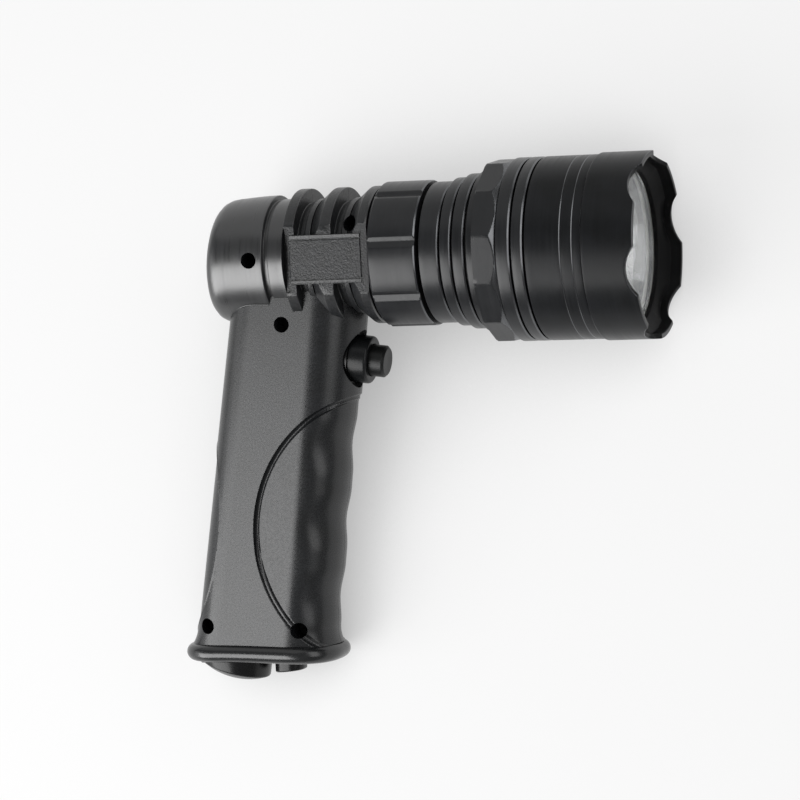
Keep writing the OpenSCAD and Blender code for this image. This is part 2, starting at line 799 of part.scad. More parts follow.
module barrel_outer() {
    difference() {
        turned(concat(
            [[-tail_len, 0]],
            arc(tail_round - tail_len, tail_rear_r - tail_round, tail_round, 180, 90),
            [
                [0, tail_r], [0, tail_groove_r], [tail_groove_w, tail_groove_r],
                [tail_groove_w, shoulder_r], [rib_a - first_flank, shoulder_r], [rib_a, rib_r]
            ],
            rib_gap(rib_a, rib_b),
            rib_gap(rib_b, rib_c),
            [[barrel_end, rib_r], [barrel_end, 0]]
        ));
        for (s = [0, 1])
            mirror([0, 0, s]) {
                translate([rib_a - over, -reach / 2, rib_flat])
                    cube([barrel_end - rib_a + 2 * over, reach, reach]);
                translate([pad_slot_u, -pad_slot_h / 2, rib_flat - pad_slot_depth])
                    cube([pad_slot_w, pad_slot_h, reach]);
            }
    }
}

module side_pad() {
    top = rib_flat + pad_proud;
    half = pad_h / 2;
    translate([pad_start, 0, 0])
        rotate([90, 0, 90])
            linear_extrude(pad_end - pad_start)
                polygon([
                    [-half, pad_root], [half, pad_root], [half, top - pad_chamfer],
                    [half - pad_chamfer, top], [pad_chamfer - half, top], [-half, top - pad_chamfer]
                ]);
}

module housing_outer() {
    grip_outer();
    barrel_outer();
    for (s = [0, 1])
        mirror([0, 0, s])
            side_pad();
}

module housing_hollow() {
    turned([
        [barrel_wall - tail_len, 0], [barrel_wall - tail_len, core_r], [rib_c, core_r],
        [rib_c, spigot_r + spigot_gap], [barrel_end + over, spigot_r + spigot_gap], [barrel_end + over, 0]
    ]);
    difference() {
        intersection() {
            front_bar(front_inset, core_half);
            rear_bar(rear_wall, core_half, rear_round - grip_wall);
            translate([-reach / 2, foot_y + ledge_t, -grip_t])
                cube([reach, grip_drop - ledge_t - hollow_top, 2 * grip_t]);
        }
        on_front_edge(-switch_drop)
            tube(seat_u - seat_wall, reach, 0, seat_r + seat_wall);
    }
    on_front_edge(-switch_drop)
        translate([seat_u - seat_wall - nut_pocket, -nut_flat - nut_room, -switch_nut_r - nut_room])
            cube([nut_pocket, 2 * (nut_flat + nut_room), 2 * (switch_nut_r + nut_room)]);
    translate([ledge_x, foot_y - over, -ledge_w / 2])
        cube([ledge_len, ledge_t + 2 * over, ledge_w]);
}

module screw_bosses() {
    for (p = screw_spots)
        translate([p[0], p[1], -valley_r])
            cylinder(r = boss_r, h = 2 * valley_r);
}

// Clear hole and deep recess on the right, pilot hole on the left
module screw_holes() {
    for (p = screw_spots)
        translate([p[0], p[1], 0]) {
            translate([0, 0, screw_seat - screw_len - over])
                cylinder(r = screw_r + screw_clear, h = screw_len + 2 * over);
            translate([0, 0, screw_seat])
                cylinder(r = recess_r, h = reach);
        }
}

module switch_opening() {
    on_front_edge(-switch_drop) {
        tube(seat_u, reach, 0, seat_r);
        tube(seat_u - seat_wall - over, seat_u + over, 0, switch_barrel_r + switch_gap);
    }
}

// One half of the housing: side 1 is the right half, -1 the left half
module housing_half(side) {
    difference() {
        intersection() {
            union() {
                difference() {
                    housing_outer();
                    housing_hollow();
                }
                intersection() {
                    housing_outer();
                    screw_bosses();
                }
            }
            translate([-reach, -reach, side > 0 ? 0 : -reach])
                cube([2 * reach, 2 * reach, reach]);
        }
        screw_holes();
        switch_opening();
    }
}

module right_housing() {
    color("#2b2c2e")
        housing_half(1);
}

module left_housing() {
    color("#2b2c2e")
        housing_half(-1);
}

module housing_screws() {
    color("silver")
        for (p = screw_spots)
            translate([p[0], p[1], screw_seat]) {
                difference() {
                    cylinder(r = screw_head_r, h = screw_head_h);
                    translate([0, 0, screw_head_h / 2])
                        for (turn = [0, 90])
                            rotate([0, 0, turn])
                                translate([-screw_r, -screw_r / 4, 0])
                                    cube([2 * screw_r, screw_r / 2, screw_head_h]);
                }
                translate([0, 0, -screw_len])
                    cylinder(r = screw_r, h = screw_len);
            }
}

// Half section of the bead, from the middle of the cap outwards
module bead_section(half) {
    polygon(concat([[0, -bead_r]], arc(half - bead_r, 0, bead_r, -90, 90, 10), [[0, bead_r]]));
}

module bead_plate() {
    front_c = base_front_x - bead_half;
    rear_c = base_rear_x + rear_turn_r + bead_r;
    corner_z = bead_half - rear_turn_r - bead_r;
    translate([front_c, bead_y, 0])
        rotate([90, 90, 0])
            rotate_extrude(angle = 180)
                bead_section(bead_half);
    for (s = [0, 1])
        mirror([0, 0, s]) {
            translate([rear_c, bead_y, 0])
                rotate([90, 0, 90])
                    linear_extrude(front_c - rear_c)
                        rotate([0, 0, 90])
                            bead_section(bead_half);
            translate([rear_c, bead_y, corner_z])
                rotate([90, -90, 0])
                    rotate_extrude(angle = 90)
                        bead_section(rear_turn_r + bead_r);
            translate([rear_c, bead_y, 0])
                rotate([0, 0, 180])
                    linear_extrude(corner_z)
                        bead_section(rear_turn_r + bead_r);
        }
}

module base_cap() {
    neck_x = ledge_x + cap_gap;
    neck_len_x = ledge_len - 2 * cap_gap;
    neck_half = ledge_w / 2 - cap_gap;
    color("#1c1d1f")
        difference() {
            union() {
                bead_plate();
                translate([neck_x, bead_y, -neck_half])
                    cube([neck_len_x, cap_top_y - bead_y, 2 * neck_half]);
                translate([neck_x - cap_lip, cap_top_y - cap_flange_t, -neck_half - cap_lip])
                    cube([neck_len_x + 2 * cap_lip, cap_flange_t, 2 * (neck_half + cap_lip)]);
            }
            translate([jack_u, base_y - over, 0])
                rotate([-90, 0, 0])
                    cylinder(r = jack_flange_r + jack_gap, h = recess_depth + over);
            translate([jack_u, base_y, 0])
                rotate([-90, 0, 0])
                    cylinder(r = jack_r + jack_gap / 2, h = reach);
            boss_cut(rear_foot_x, rear_foot_y);
            boss_cut(front_foot_x, front_foot_y);
        }
}

// Room for a screw boss in the base cap
module boss_cut(x, y) {
    translate([x, y, -bead_half])
        cylinder(r = boss_r + cap_gap, h = 2 * bead_half);
}

module charge_jack() {
    color("#303234")
        translate([jack_u, jack_seat_y, 0])
            rotate([-90, 0, 0]) {
                difference() {
                    union() {
                        translate([0, 0, -jack_flange_t])
                            cylinder(r = jack_flange_r, h = jack_flange_t);
                        cylinder(r = jack_r, h = jack_h);
                    }
                    translate([0, 0, -jack_flange_t - over])
                        cylinder(r = plug_r, h = plug_depth + over);
                }
                cylinder(r = plug_pin_r, h = plug_depth);
            }
}

module jack_nut() {
    color("silver")
        translate([jack_u, cap_top_y, 0])
            rotate([-90, 0, 0])
                difference() {
                    cylinder(r = jack_nut_r, h = jack_nut_t, $fn = 6);
                    translate([0, 0, -over])
                        cylinder(r = jack_r + stack_gap, h = jack_nut_t + 2 * over);
                }
}

module charge_board() {
    color("darkgreen")
        translate([ledge_x + (ledge_len - board_len) / 2, board_y, -board_w / 2])
            cube([board_len, board_t, board_w]);
}

// Domed cover with its stub, its strap and the rolled end of the strap
module port_cover() {
    color("#141516") {
        difference() {
            intersection() {
                translate([cover_x + cover_lean, cover_low_y + cover_dome_r, 0])
                    sphere(cover_dome_r);
                translate([cover_x, cover_top_y, 0])
                    rotate([90, 0, 0])
                        cylinder(r1 = cover_r, r2 = cover_r - cover_taper, h = cover_depth);
            }
            translate([hinge_x + strap_len - reach, -reach, -reach / 2])
                cube([reach, 2 * reach, reach]);
        }
        translate([hinge_x, cover_top_y - strap_t, -strap_w / 2])
            cube([strap_len + over, strap_t, strap_w]);
        translate([hinge_x, hinge_y, -strap_w / 2])
            cylinder(r = strap_t / 2, h = strap_w);
        translate([jack_u, jack_seat_y - jack_flange_t - stub_gap, 0])
            rotate([90, 0, 0])
                cylinder(r = stub_r, h = recess_depth - jack_flange_t - stub_gap + cover_gap + strap_t);
    }
}

module cover_root() {
    color("#141516")
        difference() {
            translate([hinge_x - strap_t / 2 - root_len, hinge_y, -strap_w / 2])
                cube([root_len + strap_t / 2, base_y - hinge_y, strap_w]);
            translate([hinge_x, hinge_y, -strap_w])
                cylinder(r = strap_t / 2 + hinge_gap, h = 2 * strap_w);
        }
}

module base_lug() {
    color("#141516")
        translate([lug_x, base_y, -lug_w / 2])
            linear_extrude(lug_w)
                polygon([[0, 0], [lug_len, 0], [lug_len, lug_rise - lug_h], [0, -lug_h]]);
}

// Frame of the cells: X to the front, Y up the grip, zero at the lower ends
module on_cells() {
    on_front_edge(cell_base_y)
        translate([cell_in, 0, 0])
            children();
}

module cell() {
    rotate([-90, 0, 0]) {
        cylinder(r = cell_r, h = cell_len - cell_tip_h);
        cylinder(r = cell_tip_r, h = cell_len);
    }
}

module front_cell() {
    color("royalblue")
        on_cells()
            cell();
}

module rear_cell() {
    color("royalblue")
        on_cells()
            translate([-cell_step, 0, 0])
                cell();
}

module strip(y) {
    on_cells()
        translate([-cell_step - strip_over, y, -strip_w / 2])
            cube([cell_step + 2 * strip_over, strip_t, strip_w]);
}

module positive_strip() {
    color("silver")
        strip(cell_len);
}

module negative_strip() {
    color("silver")
        strip(-strip_t);
}

module cell_pads() {
    color("dimgray")
        on_cells()
            for (s = [0, 1])
                mirror([0, 0, s])
                    translate([-cell_step / 2 - foam_w / 2, (cell_len - foam_len) / 2, cell_r + foam_gap])
                        cube([foam_w, foam_len, core_half - cell_r - 2 * foam_gap]);
}

module switch_collar() {
    color("#1a1b1c")
        on_front_edge(-switch_drop)
            turned(concat(
                [
                    [block_u, collar_bore_r], [block_u, switch_barrel_r], [collar_u, switch_barrel_r],
                    [collar_u, collar_r]
                ],
                arc(collar_end - collar_round, collar_r - collar_round, collar_round, 90, 0, 5),
                [[collar_end, collar_bore_r]]
            ));
}

module switch_button() {
    color("#1f2022")
        on_front_edge(-switch_drop)
            turned([
                [button_rear - stem_len, 0], [button_rear - stem_len, stem_r], [button_rear, stem_r],
                [button_rear, button_r], [button_end - button_chamfer, button_r],
                [button_end, button_r - button_chamfer], [button_end, 0]
            ]);
}

module switch_spring() {
    color("silver")
        on_front_edge(-switch_drop)
            tube(button_rear - spring_len, button_rear, spring_r - spring_wire, spring_r);
}

module switch_seal() {
    color("#101010")
        on_front_edge(-switch_drop)
            tube(seat_u, collar_u, switch_barrel_r + stack_gap, seal_r);
}

module switch_nut() {
    color("silver")
        on_front_edge(-switch_drop)
            translate([seat_u - seat_wall, 0, 0])
                rotate([0, -90, 0])
                    difference() {
                        cylinder(r = switch_nut_r, h = switch_nut_t, $fn = 6);
                        translate([0, 0, -over])
                            cylinder(r = switch_barrel_r + stack_gap, h = switch_nut_t + 2 * over);
                    }
}

module switch_body() {
    hole_r = stem_r + stem_gap;
    color("#8c1f1f")
        on_front_edge(-switch_drop)
            turned([
                [block_u, hole_r], [block_u, switch_barrel_r], [block_u - block_len, switch_barrel_r],
                [block_u - block_len, 0], [block_u - block_hole, 0], [block_u - block_hole, hole_r]
            ]);
}

module switch_terminals() {
    color("gold")
        on_front_edge(-switch_drop)
            for (z = [-tag_z, tag_z])
                translate([tag_u, -tag_t / 2, z - tag_w / 2])
                    cube([tag_len, tag_t, tag_w]);
}

module neck_ring() {
    flange_u = rib_c - spigot_gap;
    flange_r = core_r - spigot_flange_gap;
    cup_u = ring_u + ring_wall;
    cup_r = neck_thread_r - neck_thread_wall;
    thread_u = head_u + neck_thread_len;
    color("#25272a")
        difference() {
            turned([
                [flange_u - spigot_flange_t, wire_bore_r], [flange_u - spigot_flange_t, flange_r],
                [flange_u, flange_r], [flange_u, spigot_r], [ring_u, spigot_r],
                [ring_u, ring_r - ring_chamfer], [ring_u + ring_chamfer, ring_r],
                [head_u - ring_chamfer, ring_r], [head_u, ring_r - ring_chamfer],
                [head_u, neck_thread_r], [oring_u - oring_r, neck_thread_r],
                [oring_u - oring_r, oring_floor], [oring_u + oring_r, oring_floor],
                [oring_u + oring_r, neck_thread_r], [thread_u, neck_thread_r], [thread_u, cup_r],
                [cup_u, cup_r], [cup_u, wire_bore_r]
            ]);
            for (i = [0:flute_count - 1])
                around(flute_turn + i * 360 / flute_count)
                    translate([ring_u - over, 0, ring_r])
                        rotate([90, 0, 90])
                            linear_extrude(ring_len + 2 * over)
                                polygon([
                                    [-flute_w, flute_depth], [0, -flute_depth], [flute_w, flute_depth]
                                ]);
            translate([0, rail_screw_y - boss_r - spigot_flange_gap, -reach / 2])
                cube([flange_u, reach, reach]);
        }
}

module neck_oring() {
    color("#101010")
        rotate([0, 90, 0])
            rotate_extrude()
                translate([oring_floor + oring_r, oring_u])
                    circle(oring_r - stack_gap);
}

// Outline of a groove cut to a radius between two stations
function notch(u0, u1, r0, depth, r1) = [[u0, r0], [u0, r0 - depth], [u1, r0 - depth], [u1, r1]];

module head_shell() {
    fin_a_r = neck_r + fin_step;
    fin_b_r = fin_a_r + fin_step;
    fin_c_r = fin_b_r + fin_step;
    line_a_u = bezel_u - line_a;
    line_b_u = bezel_u - line_b;
    flat_r = nut_r * cos(180 / nut_sides);
    color("#232528")
        difference() {
            union() {
                turned(concat(
                    [[head_u, head_bore_r - over], [head_u, neck_r]],
                    notch(head_u + neck_len, fin_a_u, neck_r, fin_groove, fin_a_r),
                    notch(fin_a_u + fin_a_w, fin_b_u, fin_a_r, fin_groove, fin_b_r),
                    notch(fin_b_u + fin_b_w, fin_c_u, fin_b_r, fin_groove, fin_c_r),
                    [[nut_u, fin_c_r], [nut_u, flat_r - over]],
                    [[head_ring_u, flat_r - over], [head_ring_u, head_r]],
                    notch(groove_a_u, groove_a_u + head_groove_w, head_r, head_groove_depth, head_r),
                    notch(groove_b_u, tube_u, head_r, head_groove_depth, head_r),
                    notch(line_a_u, line_a_u + line_w, head_r, line_depth, head_r),
                    notch(line_b_u, line_b_u + line_w, head_r, line_depth, head_r),
                    [[bezel_u - line_w / 2, head_r], [bezel_u - line_w / 2, head_bore_r - over]]
                ));
                intersection() {
                    translate([nut_u, 0, 0])
                        rotate([0, 90, 0])
                            rotate([0, 0, 180 - nut_turn])
                                cylinder(r = nut_r, h = nut_w + nut_bevel, $fn = nut_sides);
                    turned([
                        [nut_u, 0], [nut_u, nut_r - nut_edge],
                        [nut_u + nut_edge + over, nut_r + over], [nut_u + nut_w - over, nut_r + over],
                        [nut_u + nut_w + nut_bevel, nut_r - nut_bevel], [nut_u + nut_w + nut_bevel, 0]
                    ]);
                }
            }
            turned([
                [head_u - over, 0], [head_u - over, head_bore_r], [shelf_u, head_bore_r], [shelf_u, shelf_r],
                [shelf_u + shelf_t, shelf_r], [head_ring_u, cavity_r],
                [thread_end_u, cavity_r], [thread_end_u, bezel_thread_r + thread_gap],
                [bezel_u + over, bezel_thread_r + thread_gap], [bezel_u + over, 0]
            ]);
        }
}

module bezel_ring() {
    scallop_r = (scallop_w * scallop_w / 4 + scallop_depth * scallop_depth) / (2 * scallop_depth);
    lip_u = glass_u + stack_gap;
    color("#1f2124")
        difference() {
            turned([
                [bezel_u - bezel_thread_len, bezel_bore_r], [bezel_u - bezel_thread_len, bezel_thread_r],
                [bezel_u, bezel_thread_r], [bezel_u, bezel_r - bezel_chamfer],
                [bezel_u + bezel_chamfer, bezel_r], [tip_u - bezel_chamfer, bezel_r],
                [tip_u, bezel_r - bezel_chamfer], [tip_u, tooth_r], [tip_u - mouth_depth, tooth_r],
                [lip_u + lip_t, opening_r], [lip_u, opening_r], [lip_u, bezel_bore_r]
            ]);
            for (i = [0:scallop_count - 1])
                around(scallop_turn + i * 360 / scallop_count)
                    translate([tip_u - scallop_depth + scallop_r, 0, opening_r - over])
                        cylinder(r = scallop_r, h = bezel_r);
        }
}

module front_lens() {
    color([0.85, 0.92, 0.95, 0.35])
        tube(glass_u - glass_t, glass_u, 0, glass_r);
}

module lens_seal() {
    color("#101010")
        tube(gasket_u - gasket_t, gasket_u, mirror_r, glass_r);
}

module reflector() {
    inner = [
        for (i = [0:mirror_steps])
            let (u = mirror_rear_u + (rim_u - mirror_rear_u) * pow(i / mirror_steps, 2)) [u, mirror_at(u)]
    ];
    outer = [
        for (i = [mirror_steps - 1:-1:0])
            let (u = mirror_rear_u + (rim_u - mirror_rear_u) * pow(i / mirror_steps, 2))
                [u, mirror_at(u) + mirror_wall]
    ];
    color("gainsboro")
        turned(concat(inner, [[rim_u, glass_r], [rim_u - rim_t, glass_r],
            [rim_u - rim_t, mirror_at(rim_u - rim_t) + mirror_wall]], outer));
}

module led_holder() {
    spigot = mirror_at(mirror_rear_u) - glass_gap;
    color("ivory")
        turned([
            [led_u, holder_bore_r], [led_u, holder_r], [led_u + holder_t, holder_r],
            [led_u + holder_t, spigot], [led_u + holder_t + holder_h, spigot],
            [led_u + holder_t + holder_h, holder_bore_r]
        ]);
}

module led_emitter() {
    color("khaki") {
        translate([led_u, -led_w / 2, -led_w / 2])
            cube([led_h, led_w, led_w]);
        intersection() {
            translate([led_u + led_h, 0, 0])
                sphere(led_dome_r);
            tube(led_u + led_h / 2, led_u + reach, 0, led_w);
        }
    }
}

// Two holes for the LED leads between two stations
module lead_holes(u0, u1, r) {
    for (s = [-1, 1])
        translate([u0, s * led_lead_y, 0])
            rotate([0, 90, 0])
                cylinder(r = r, h = u1 - u0);
}

module led_board() {
    color("whitesmoke")
        difference() {
            tube(led_board_u, led_u, 0, led_board_r);
            lead_holes(led_board_u - over, led_u + over, led_lead_r + lead_gap);
        }
}

module heat_pill() {
    color("goldenrod")
        difference() {
            turned([
                [pill_u, 0], [pill_u, pill_r - pill_wall], [pill_u - pill_skirt, pill_r - pill_wall],
                [pill_u - pill_skirt, pill_r], [pill_u + pill_t, pill_r],
                [pill_u + pill_t, shelf_r - thread_gap],
                [led_board_u, shelf_r - thread_gap], [led_board_u, 0]
            ]);
            lead_holes(pill_u - over, led_board_u + over, led_lead_r + lead_clear);
        }
}

module driver_board() {
    color("darkgreen")
        difference() {
            tube(driver_u, driver_u + driver_t, 0, pill_r - pill_wall - driver_gap);
            lead_holes(driver_u - over, driver_u + driver_t + over, led_lead_r + lead_gap);
        }
}

module driver_parts() {
    color("dimgray") {
        translate([driver_u - coil_h, 0, coil_z])
            rotate([0, 90, 0])
                cylinder(r = coil_r, h = coil_h);
        translate([driver_u - chip_t, -chip_w / 2, -chip_z - chip_len / 2])
            cube([chip_t, chip_w, chip_len]);
    }
}

module led_leads() {
    color("crimson")
        lead_holes(driver_u - lead_end, led_u + lead_end, led_lead_r);
}

function unit(v) = v / norm(v);
function heading(p, i) = unit(p[min(i + 1, len(p) - 1)] - p[max(i - 1, 0)]);
function blend(a, b, c, d, t) =
    0.5 * (2 * b + (c - a) * t + (2 * a - 5 * b + 4 * c - d) * t * t + (3 * b - a - 3 * c + d) * t * t * t);
function smooth(p, n = 3) = concat(
    [
        for (i = [0:len(p) - 2], k = [0:n - 1])
            blend(p[max(i - 1, 0)], p[i], p[i + 1], p[min(i + 2, len(p) - 1)], k / n)
    ],
    [p[len(p) - 1]]
);

// Insulated lead swept along a smoothed route
module lead(route) {
    path = smooth(route);
    sides = 8;
    rings = len(path);
    points = [
        for (i = [0:rings - 1])
            let (t = heading(path, i), s = unit(cross([0, 0, 1], t)), b = cross(t, s))
                for (j = [0:sides - 1])
                    path[i] + lead_r * (cos(360 * j / sides) * s + sin(360 * j / sides) * b)
    ];
    walls = [
        for (i = [0:rings - 2], j = [0:sides - 1])
            let (a = i * sides + j, b = i * sides + (j + 1) % sides)
                each [[a, b, b + sides], [a, b + sides, a + sides]]
    ];
    caps = [
        [for (j = [sides - 1:-1:0]) j],
        [for (j = [0:sides - 1]) (rings - 1) * sides + j]
    ];
    polyhedron(points, [for (f = concat(walls, caps)) [for (k = [len(f) - 1:-1:0]) f[k]]]);
}

// A point of the cells' frame, and a point on the switch axis, both as places in the light
function by_cells(x, y, z) = [
    edge_front(cell_base_y) + (cell_in + x) * cos(front_lean) + y * sin(front_lean),
    cell_base_y - (cell_in + x) * sin(front_lean) + y * cos(front_lean),
    z
];
function by_switch(u, z) = [
    edge_front(-switch_drop) + u * cos(front_lean),
    -switch_drop - u * sin(front_lean),
    z
];

// The stretch of a lead in the hollow between the cells, from top to bottom
function between_cells(z) = [
    for (share = [0.98, 0.75, 0.5, 0.25, 0.05])
        by_cells(-cell_step / 2, share * cell_len, z)
];

// The stretch of a lead from the driver through the neck and the barrel into the grip
function through_neck(y, z) = [
    [driver_u - lead_end, 1.5 * y, z], [head_u, 1.5 * y, z], [ring_u + ring_wall, y, z],
    [rib_c - rib_w, 0.75 * y, z], [rib_b - rib_w, 0.2 * (y - lead_turn), 1.5 * z],
    [rib_a, -1.4 * lead_turn, 2.5 * z], [0, -3.8 * lead_turn, 3.5 * z],
    [-1.2 * lead_turn, -6.8 * lead_turn, 4 * z]
];

module lamp_lead_live() {
    color("red")
        lead(concat(
            through_neck(0.8 * lead_turn, 0.8 * lead_turn),
            [
                by_switch(tag_u - 1.8 * lead_turn, 3.2 * lead_turn) + [0, 2 * lead_turn, 0],
                by_switch(tag_u - 1.6 * lead_turn, 2.4 * lead_turn),
                by_switch(tag_u - lead_turn, 1.6 * lead_turn), by_switch(tag_u - lead_end, tag_z)
            ]
        ));
}

module lamp_lead_return() {
    color("#202020")
        lead(concat(
            through_neck(-0.8 * lead_turn, -0.8 * lead_turn),
            [
                by_switch(tag_u - 2.4 * lead_turn, -3.2 * lead_turn),
                by_cells(-cell_step / 2, cell_len + 2.4 * lead_turn, -lead_z)
            ],
            between_cells(-lead_z),
            [
                by_cells(-cell_step / 2, -strip_t, 0.2 * lead_turn - lead_z),
                by_cells(-cell_step / 2, -strip_t - lead_r - stack_gap, strip_over / 2 - lead_z)
            ]
        ));
}

module switch_lead() {
    color("orange")
        lead([
            by_switch(tag_u - lead_end, -tag_z), by_switch(tag_u - lead_turn, -tag_z),
            by_switch(tag_u - 2 * lead_turn, -lead_turn),
            by_cells(-0.6 * cell_step, strip_top + 2 * lead_turn, -0.8 * lead_turn),
            by_cells(-0.6 * cell_step, strip_top + lead_end, -0.8 * lead_turn)
        ]);
}

module charge_lead_live() {
    color("red")
        lead(concat(
            [
                by_cells(-cell_step / 2, strip_top + lead_r + stack_gap, strip_w / 4),
                by_cells(-cell_step / 2, strip_top + lead_r + stack_gap, lead_z - 0.6 * lead_turn)
            ],
            between_cells(lead_z),
            [
                [jack_u + 1.6 * lead_turn, board_y + board_t + 1.2 * lead_turn, lead_z],
                [jack_u + 1.2 * lead_turn, board_y + board_t + lead_end, lead_z]
            ]
        ));
}

module charge_lead_return() {
    x = by_cells(-cell_step, 0, 0)[0];
    color("#202020")
        lead([
            [x, board_y + board_t + lead_end, -strip_w / 4],
            [x, board_y + board_t + 1.2 * lead_turn, -strip_w / 4],
            by_cells(-cell_step, -strip_t - lead_end, -strip_w / 4)
        ]);
}

place() right_housing();
place() left_housing();
place() housing_screws();
place() base_cap();
place() charge_jack();
place() jack_nut();
place() charge_board();
place() port_cover();
place() cover_root();
place() base_lug();
place() front_cell();
place() rear_cell();
place() positive_strip();
place() negative_strip();
place() cell_pads();
place() switch_collar();
place() switch_button();
place() switch_spring();
place() switch_seal();
place() switch_nut();
place() switch_body();
place() switch_terminals();
place() neck_ring();
place() neck_oring();
place() head_shell();
place() bezel_ring();
place() front_lens();
place() lens_seal();
place() reflector();
place() led_holder();
place() led_emitter();
place() led_board();
place() heat_pill();
place() driver_board();
place() driver_parts();
place() led_leads();
place() lamp_lead_live();
place() lamp_lead_return();
place() switch_lead();
place() charge_lead_live();
place() charge_lead_return();
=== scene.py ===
import math

import bmesh
import bpy
from mathutils import Matrix, Vector


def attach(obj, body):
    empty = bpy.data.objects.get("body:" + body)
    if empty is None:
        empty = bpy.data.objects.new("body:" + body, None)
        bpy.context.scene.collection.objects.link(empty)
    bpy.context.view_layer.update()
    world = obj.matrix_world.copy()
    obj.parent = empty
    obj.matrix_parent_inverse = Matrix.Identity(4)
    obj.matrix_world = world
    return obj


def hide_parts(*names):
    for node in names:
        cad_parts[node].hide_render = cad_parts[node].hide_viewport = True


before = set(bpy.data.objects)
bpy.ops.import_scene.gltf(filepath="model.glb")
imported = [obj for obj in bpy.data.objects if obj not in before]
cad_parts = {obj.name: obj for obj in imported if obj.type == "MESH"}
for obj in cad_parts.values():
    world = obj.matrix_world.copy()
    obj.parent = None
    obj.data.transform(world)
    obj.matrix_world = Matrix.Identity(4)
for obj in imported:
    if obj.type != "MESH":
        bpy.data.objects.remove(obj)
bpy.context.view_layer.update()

print("frame loaded:", len(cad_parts), "nodes")

mm = 0.001
axisPlace = Vector((-42.401, 51.9, 28.8))  # the tail groove on the beam axis, from the frame's origin, in mm


def place(x, y, z):
    return (Vector((x, y, z)) + axisPlace) * mm


# materials: what each finish is made of, and what that gives the eye


def linear(code):
    parts = [int(code[i:i + 2], 16) / 255 for i in (1, 3, 5)]
    return [c / 12.92 if c <= 0.04045 else ((c + 0.055) / 1.055) ** 2.4 for c in parts] + [1.0]


def node(tree, kind, attributes=None, values=None, links=None):
    new = tree.nodes.new(kind)
    for key, value in (attributes or {}).items():
        setattr(new, key, value)
    for key, value in (values or {}).items():
        new.inputs[key].default_value = value
    for key, source in (links or {}).items():
        tree.links.new(source, new.inputs[key])
    return new


patchSpan = {"From Min": 0.35, "From Max": 0.65}  # where most values of the noise lie
grainSpan = {"From Min": 0.3, "From Max": 0.7}


def finish(name, look):
    material = bpy.data.materials.new(name)
    material.use_nodes = True
    tree = material.node_tree
    tree.nodes.clear()
    spot = node(tree, "ShaderNodeTexCoord").outputs["Object"]
    broad = node(tree, "ShaderNodeTexNoise", None,
                 {"Scale": 1 / (look["patch"] * mm), "Detail": 3.0, "Roughness": 0.55},
                 {"Vector": spot}).outputs["Fac"]
    stretch = node(tree, "ShaderNodeMapping", None, {"Scale": look.get("stretch", (1, 1, 1))}, {"Vector": spot})
    grain = node(tree, "ShaderNodeTexNoise", None,
                 {"Scale": 1 / (look["grain"] * mm), "Detail": 2.0, "Roughness": 0.5},
                 {"Vector": stretch.outputs["Vector"]}).outputs["Fac"]
    tone = node(tree, "ShaderNodeMapRange", None, patchSpan, {"Value": broad}).outputs["Result"]
    colour = node(tree, "ShaderNodeMix", {"data_type": "RGBA"},
                  {6: linear(look["dark"]), 7: linear(look["light"])}, {0: tone}).outputs[2]
    fleck = node(tree, "ShaderNodeMapRange", None,
                 {**grainSpan, "To Min": 1 - look["fleck"], "To Max": 1 + look["fleck"]},
                 {"Value": grain}).outputs["Result"]
    colour = node(tree, "ShaderNodeVectorMath", {"operation": "SCALE"}, None,
                  {"Vector": colour, "Scale": fleck}).outputs["Vector"]
    low, high = look["rough"]
    rough = node(tree, "ShaderNodeMapRange", None, {**grainSpan, "To Min": low, "To Max": high},
                 {"Value": grain}).outputs["Result"]
    height = node(tree, "ShaderNodeBump", None, {"Strength": look["bump"], "Distance": look["relief"] * mm},
                  {"Height": grain}).outputs["Normal"]
    values = {"Metallic": look.get("metal", 0.0), "IOR": look.get("ior", 1.5)}  # metals keep the default IOR
    if "coat" in look:
        values.update({"Coat Weight": look["coat"], "Coat Roughness": look["coatRough"]})
    if "clear" in look:
        values["Transmission Weight"] = look["clear"]
    if "spec" in look:
        values["Specular IOR Level"] = look["spec"]
    shader = node(tree, "ShaderNodeBsdfPrincipled", None, values,
                  {"Base Color": colour, "Roughness": rough, "Normal": height})
    surface = shader.outputs["BSDF"]
    if "clear" in look:
        shadow = node(tree, "ShaderNodeLightPath").outputs["Is Shadow Ray"]  # lamps shine through the glass
        coated = node(tree, "ShaderNodeMath", {"operation": "MAXIMUM"}, {1: look["coated"]}, {0: shadow}).outputs[0]
        through = node(tree, "ShaderNodeBsdfTransparent").outputs["BSDF"]
        surface = node(tree, "ShaderNodeMixShader", None, None,
                       {0: coated, 1: surface, 2: through}).outputs["Shader"]
    node(tree, "ShaderNodeOutputMaterial", None, None, {"Surface": surface})
    material.diffuse_color = linear(look["light"])
    return material


# patch (slow changes of tone), grain and relief are in mm. Real grain of 0.1 to 0.2 mm and tool lines 0.1 mm apart are
# too fine to show from the camera, so the finishes outside draw them 0.3 to 0.8 mm wide.
turnedLines = (1.0, 0.03, 0.03)  # draws the grain out into rings round the beam axis
silicone = {"patch": 3, "grain": 0.4, "relief": 0.01, "bump": 0.3, "rough": (0.36, 0.46), "fleck": 0.08, "ior": 1.43}

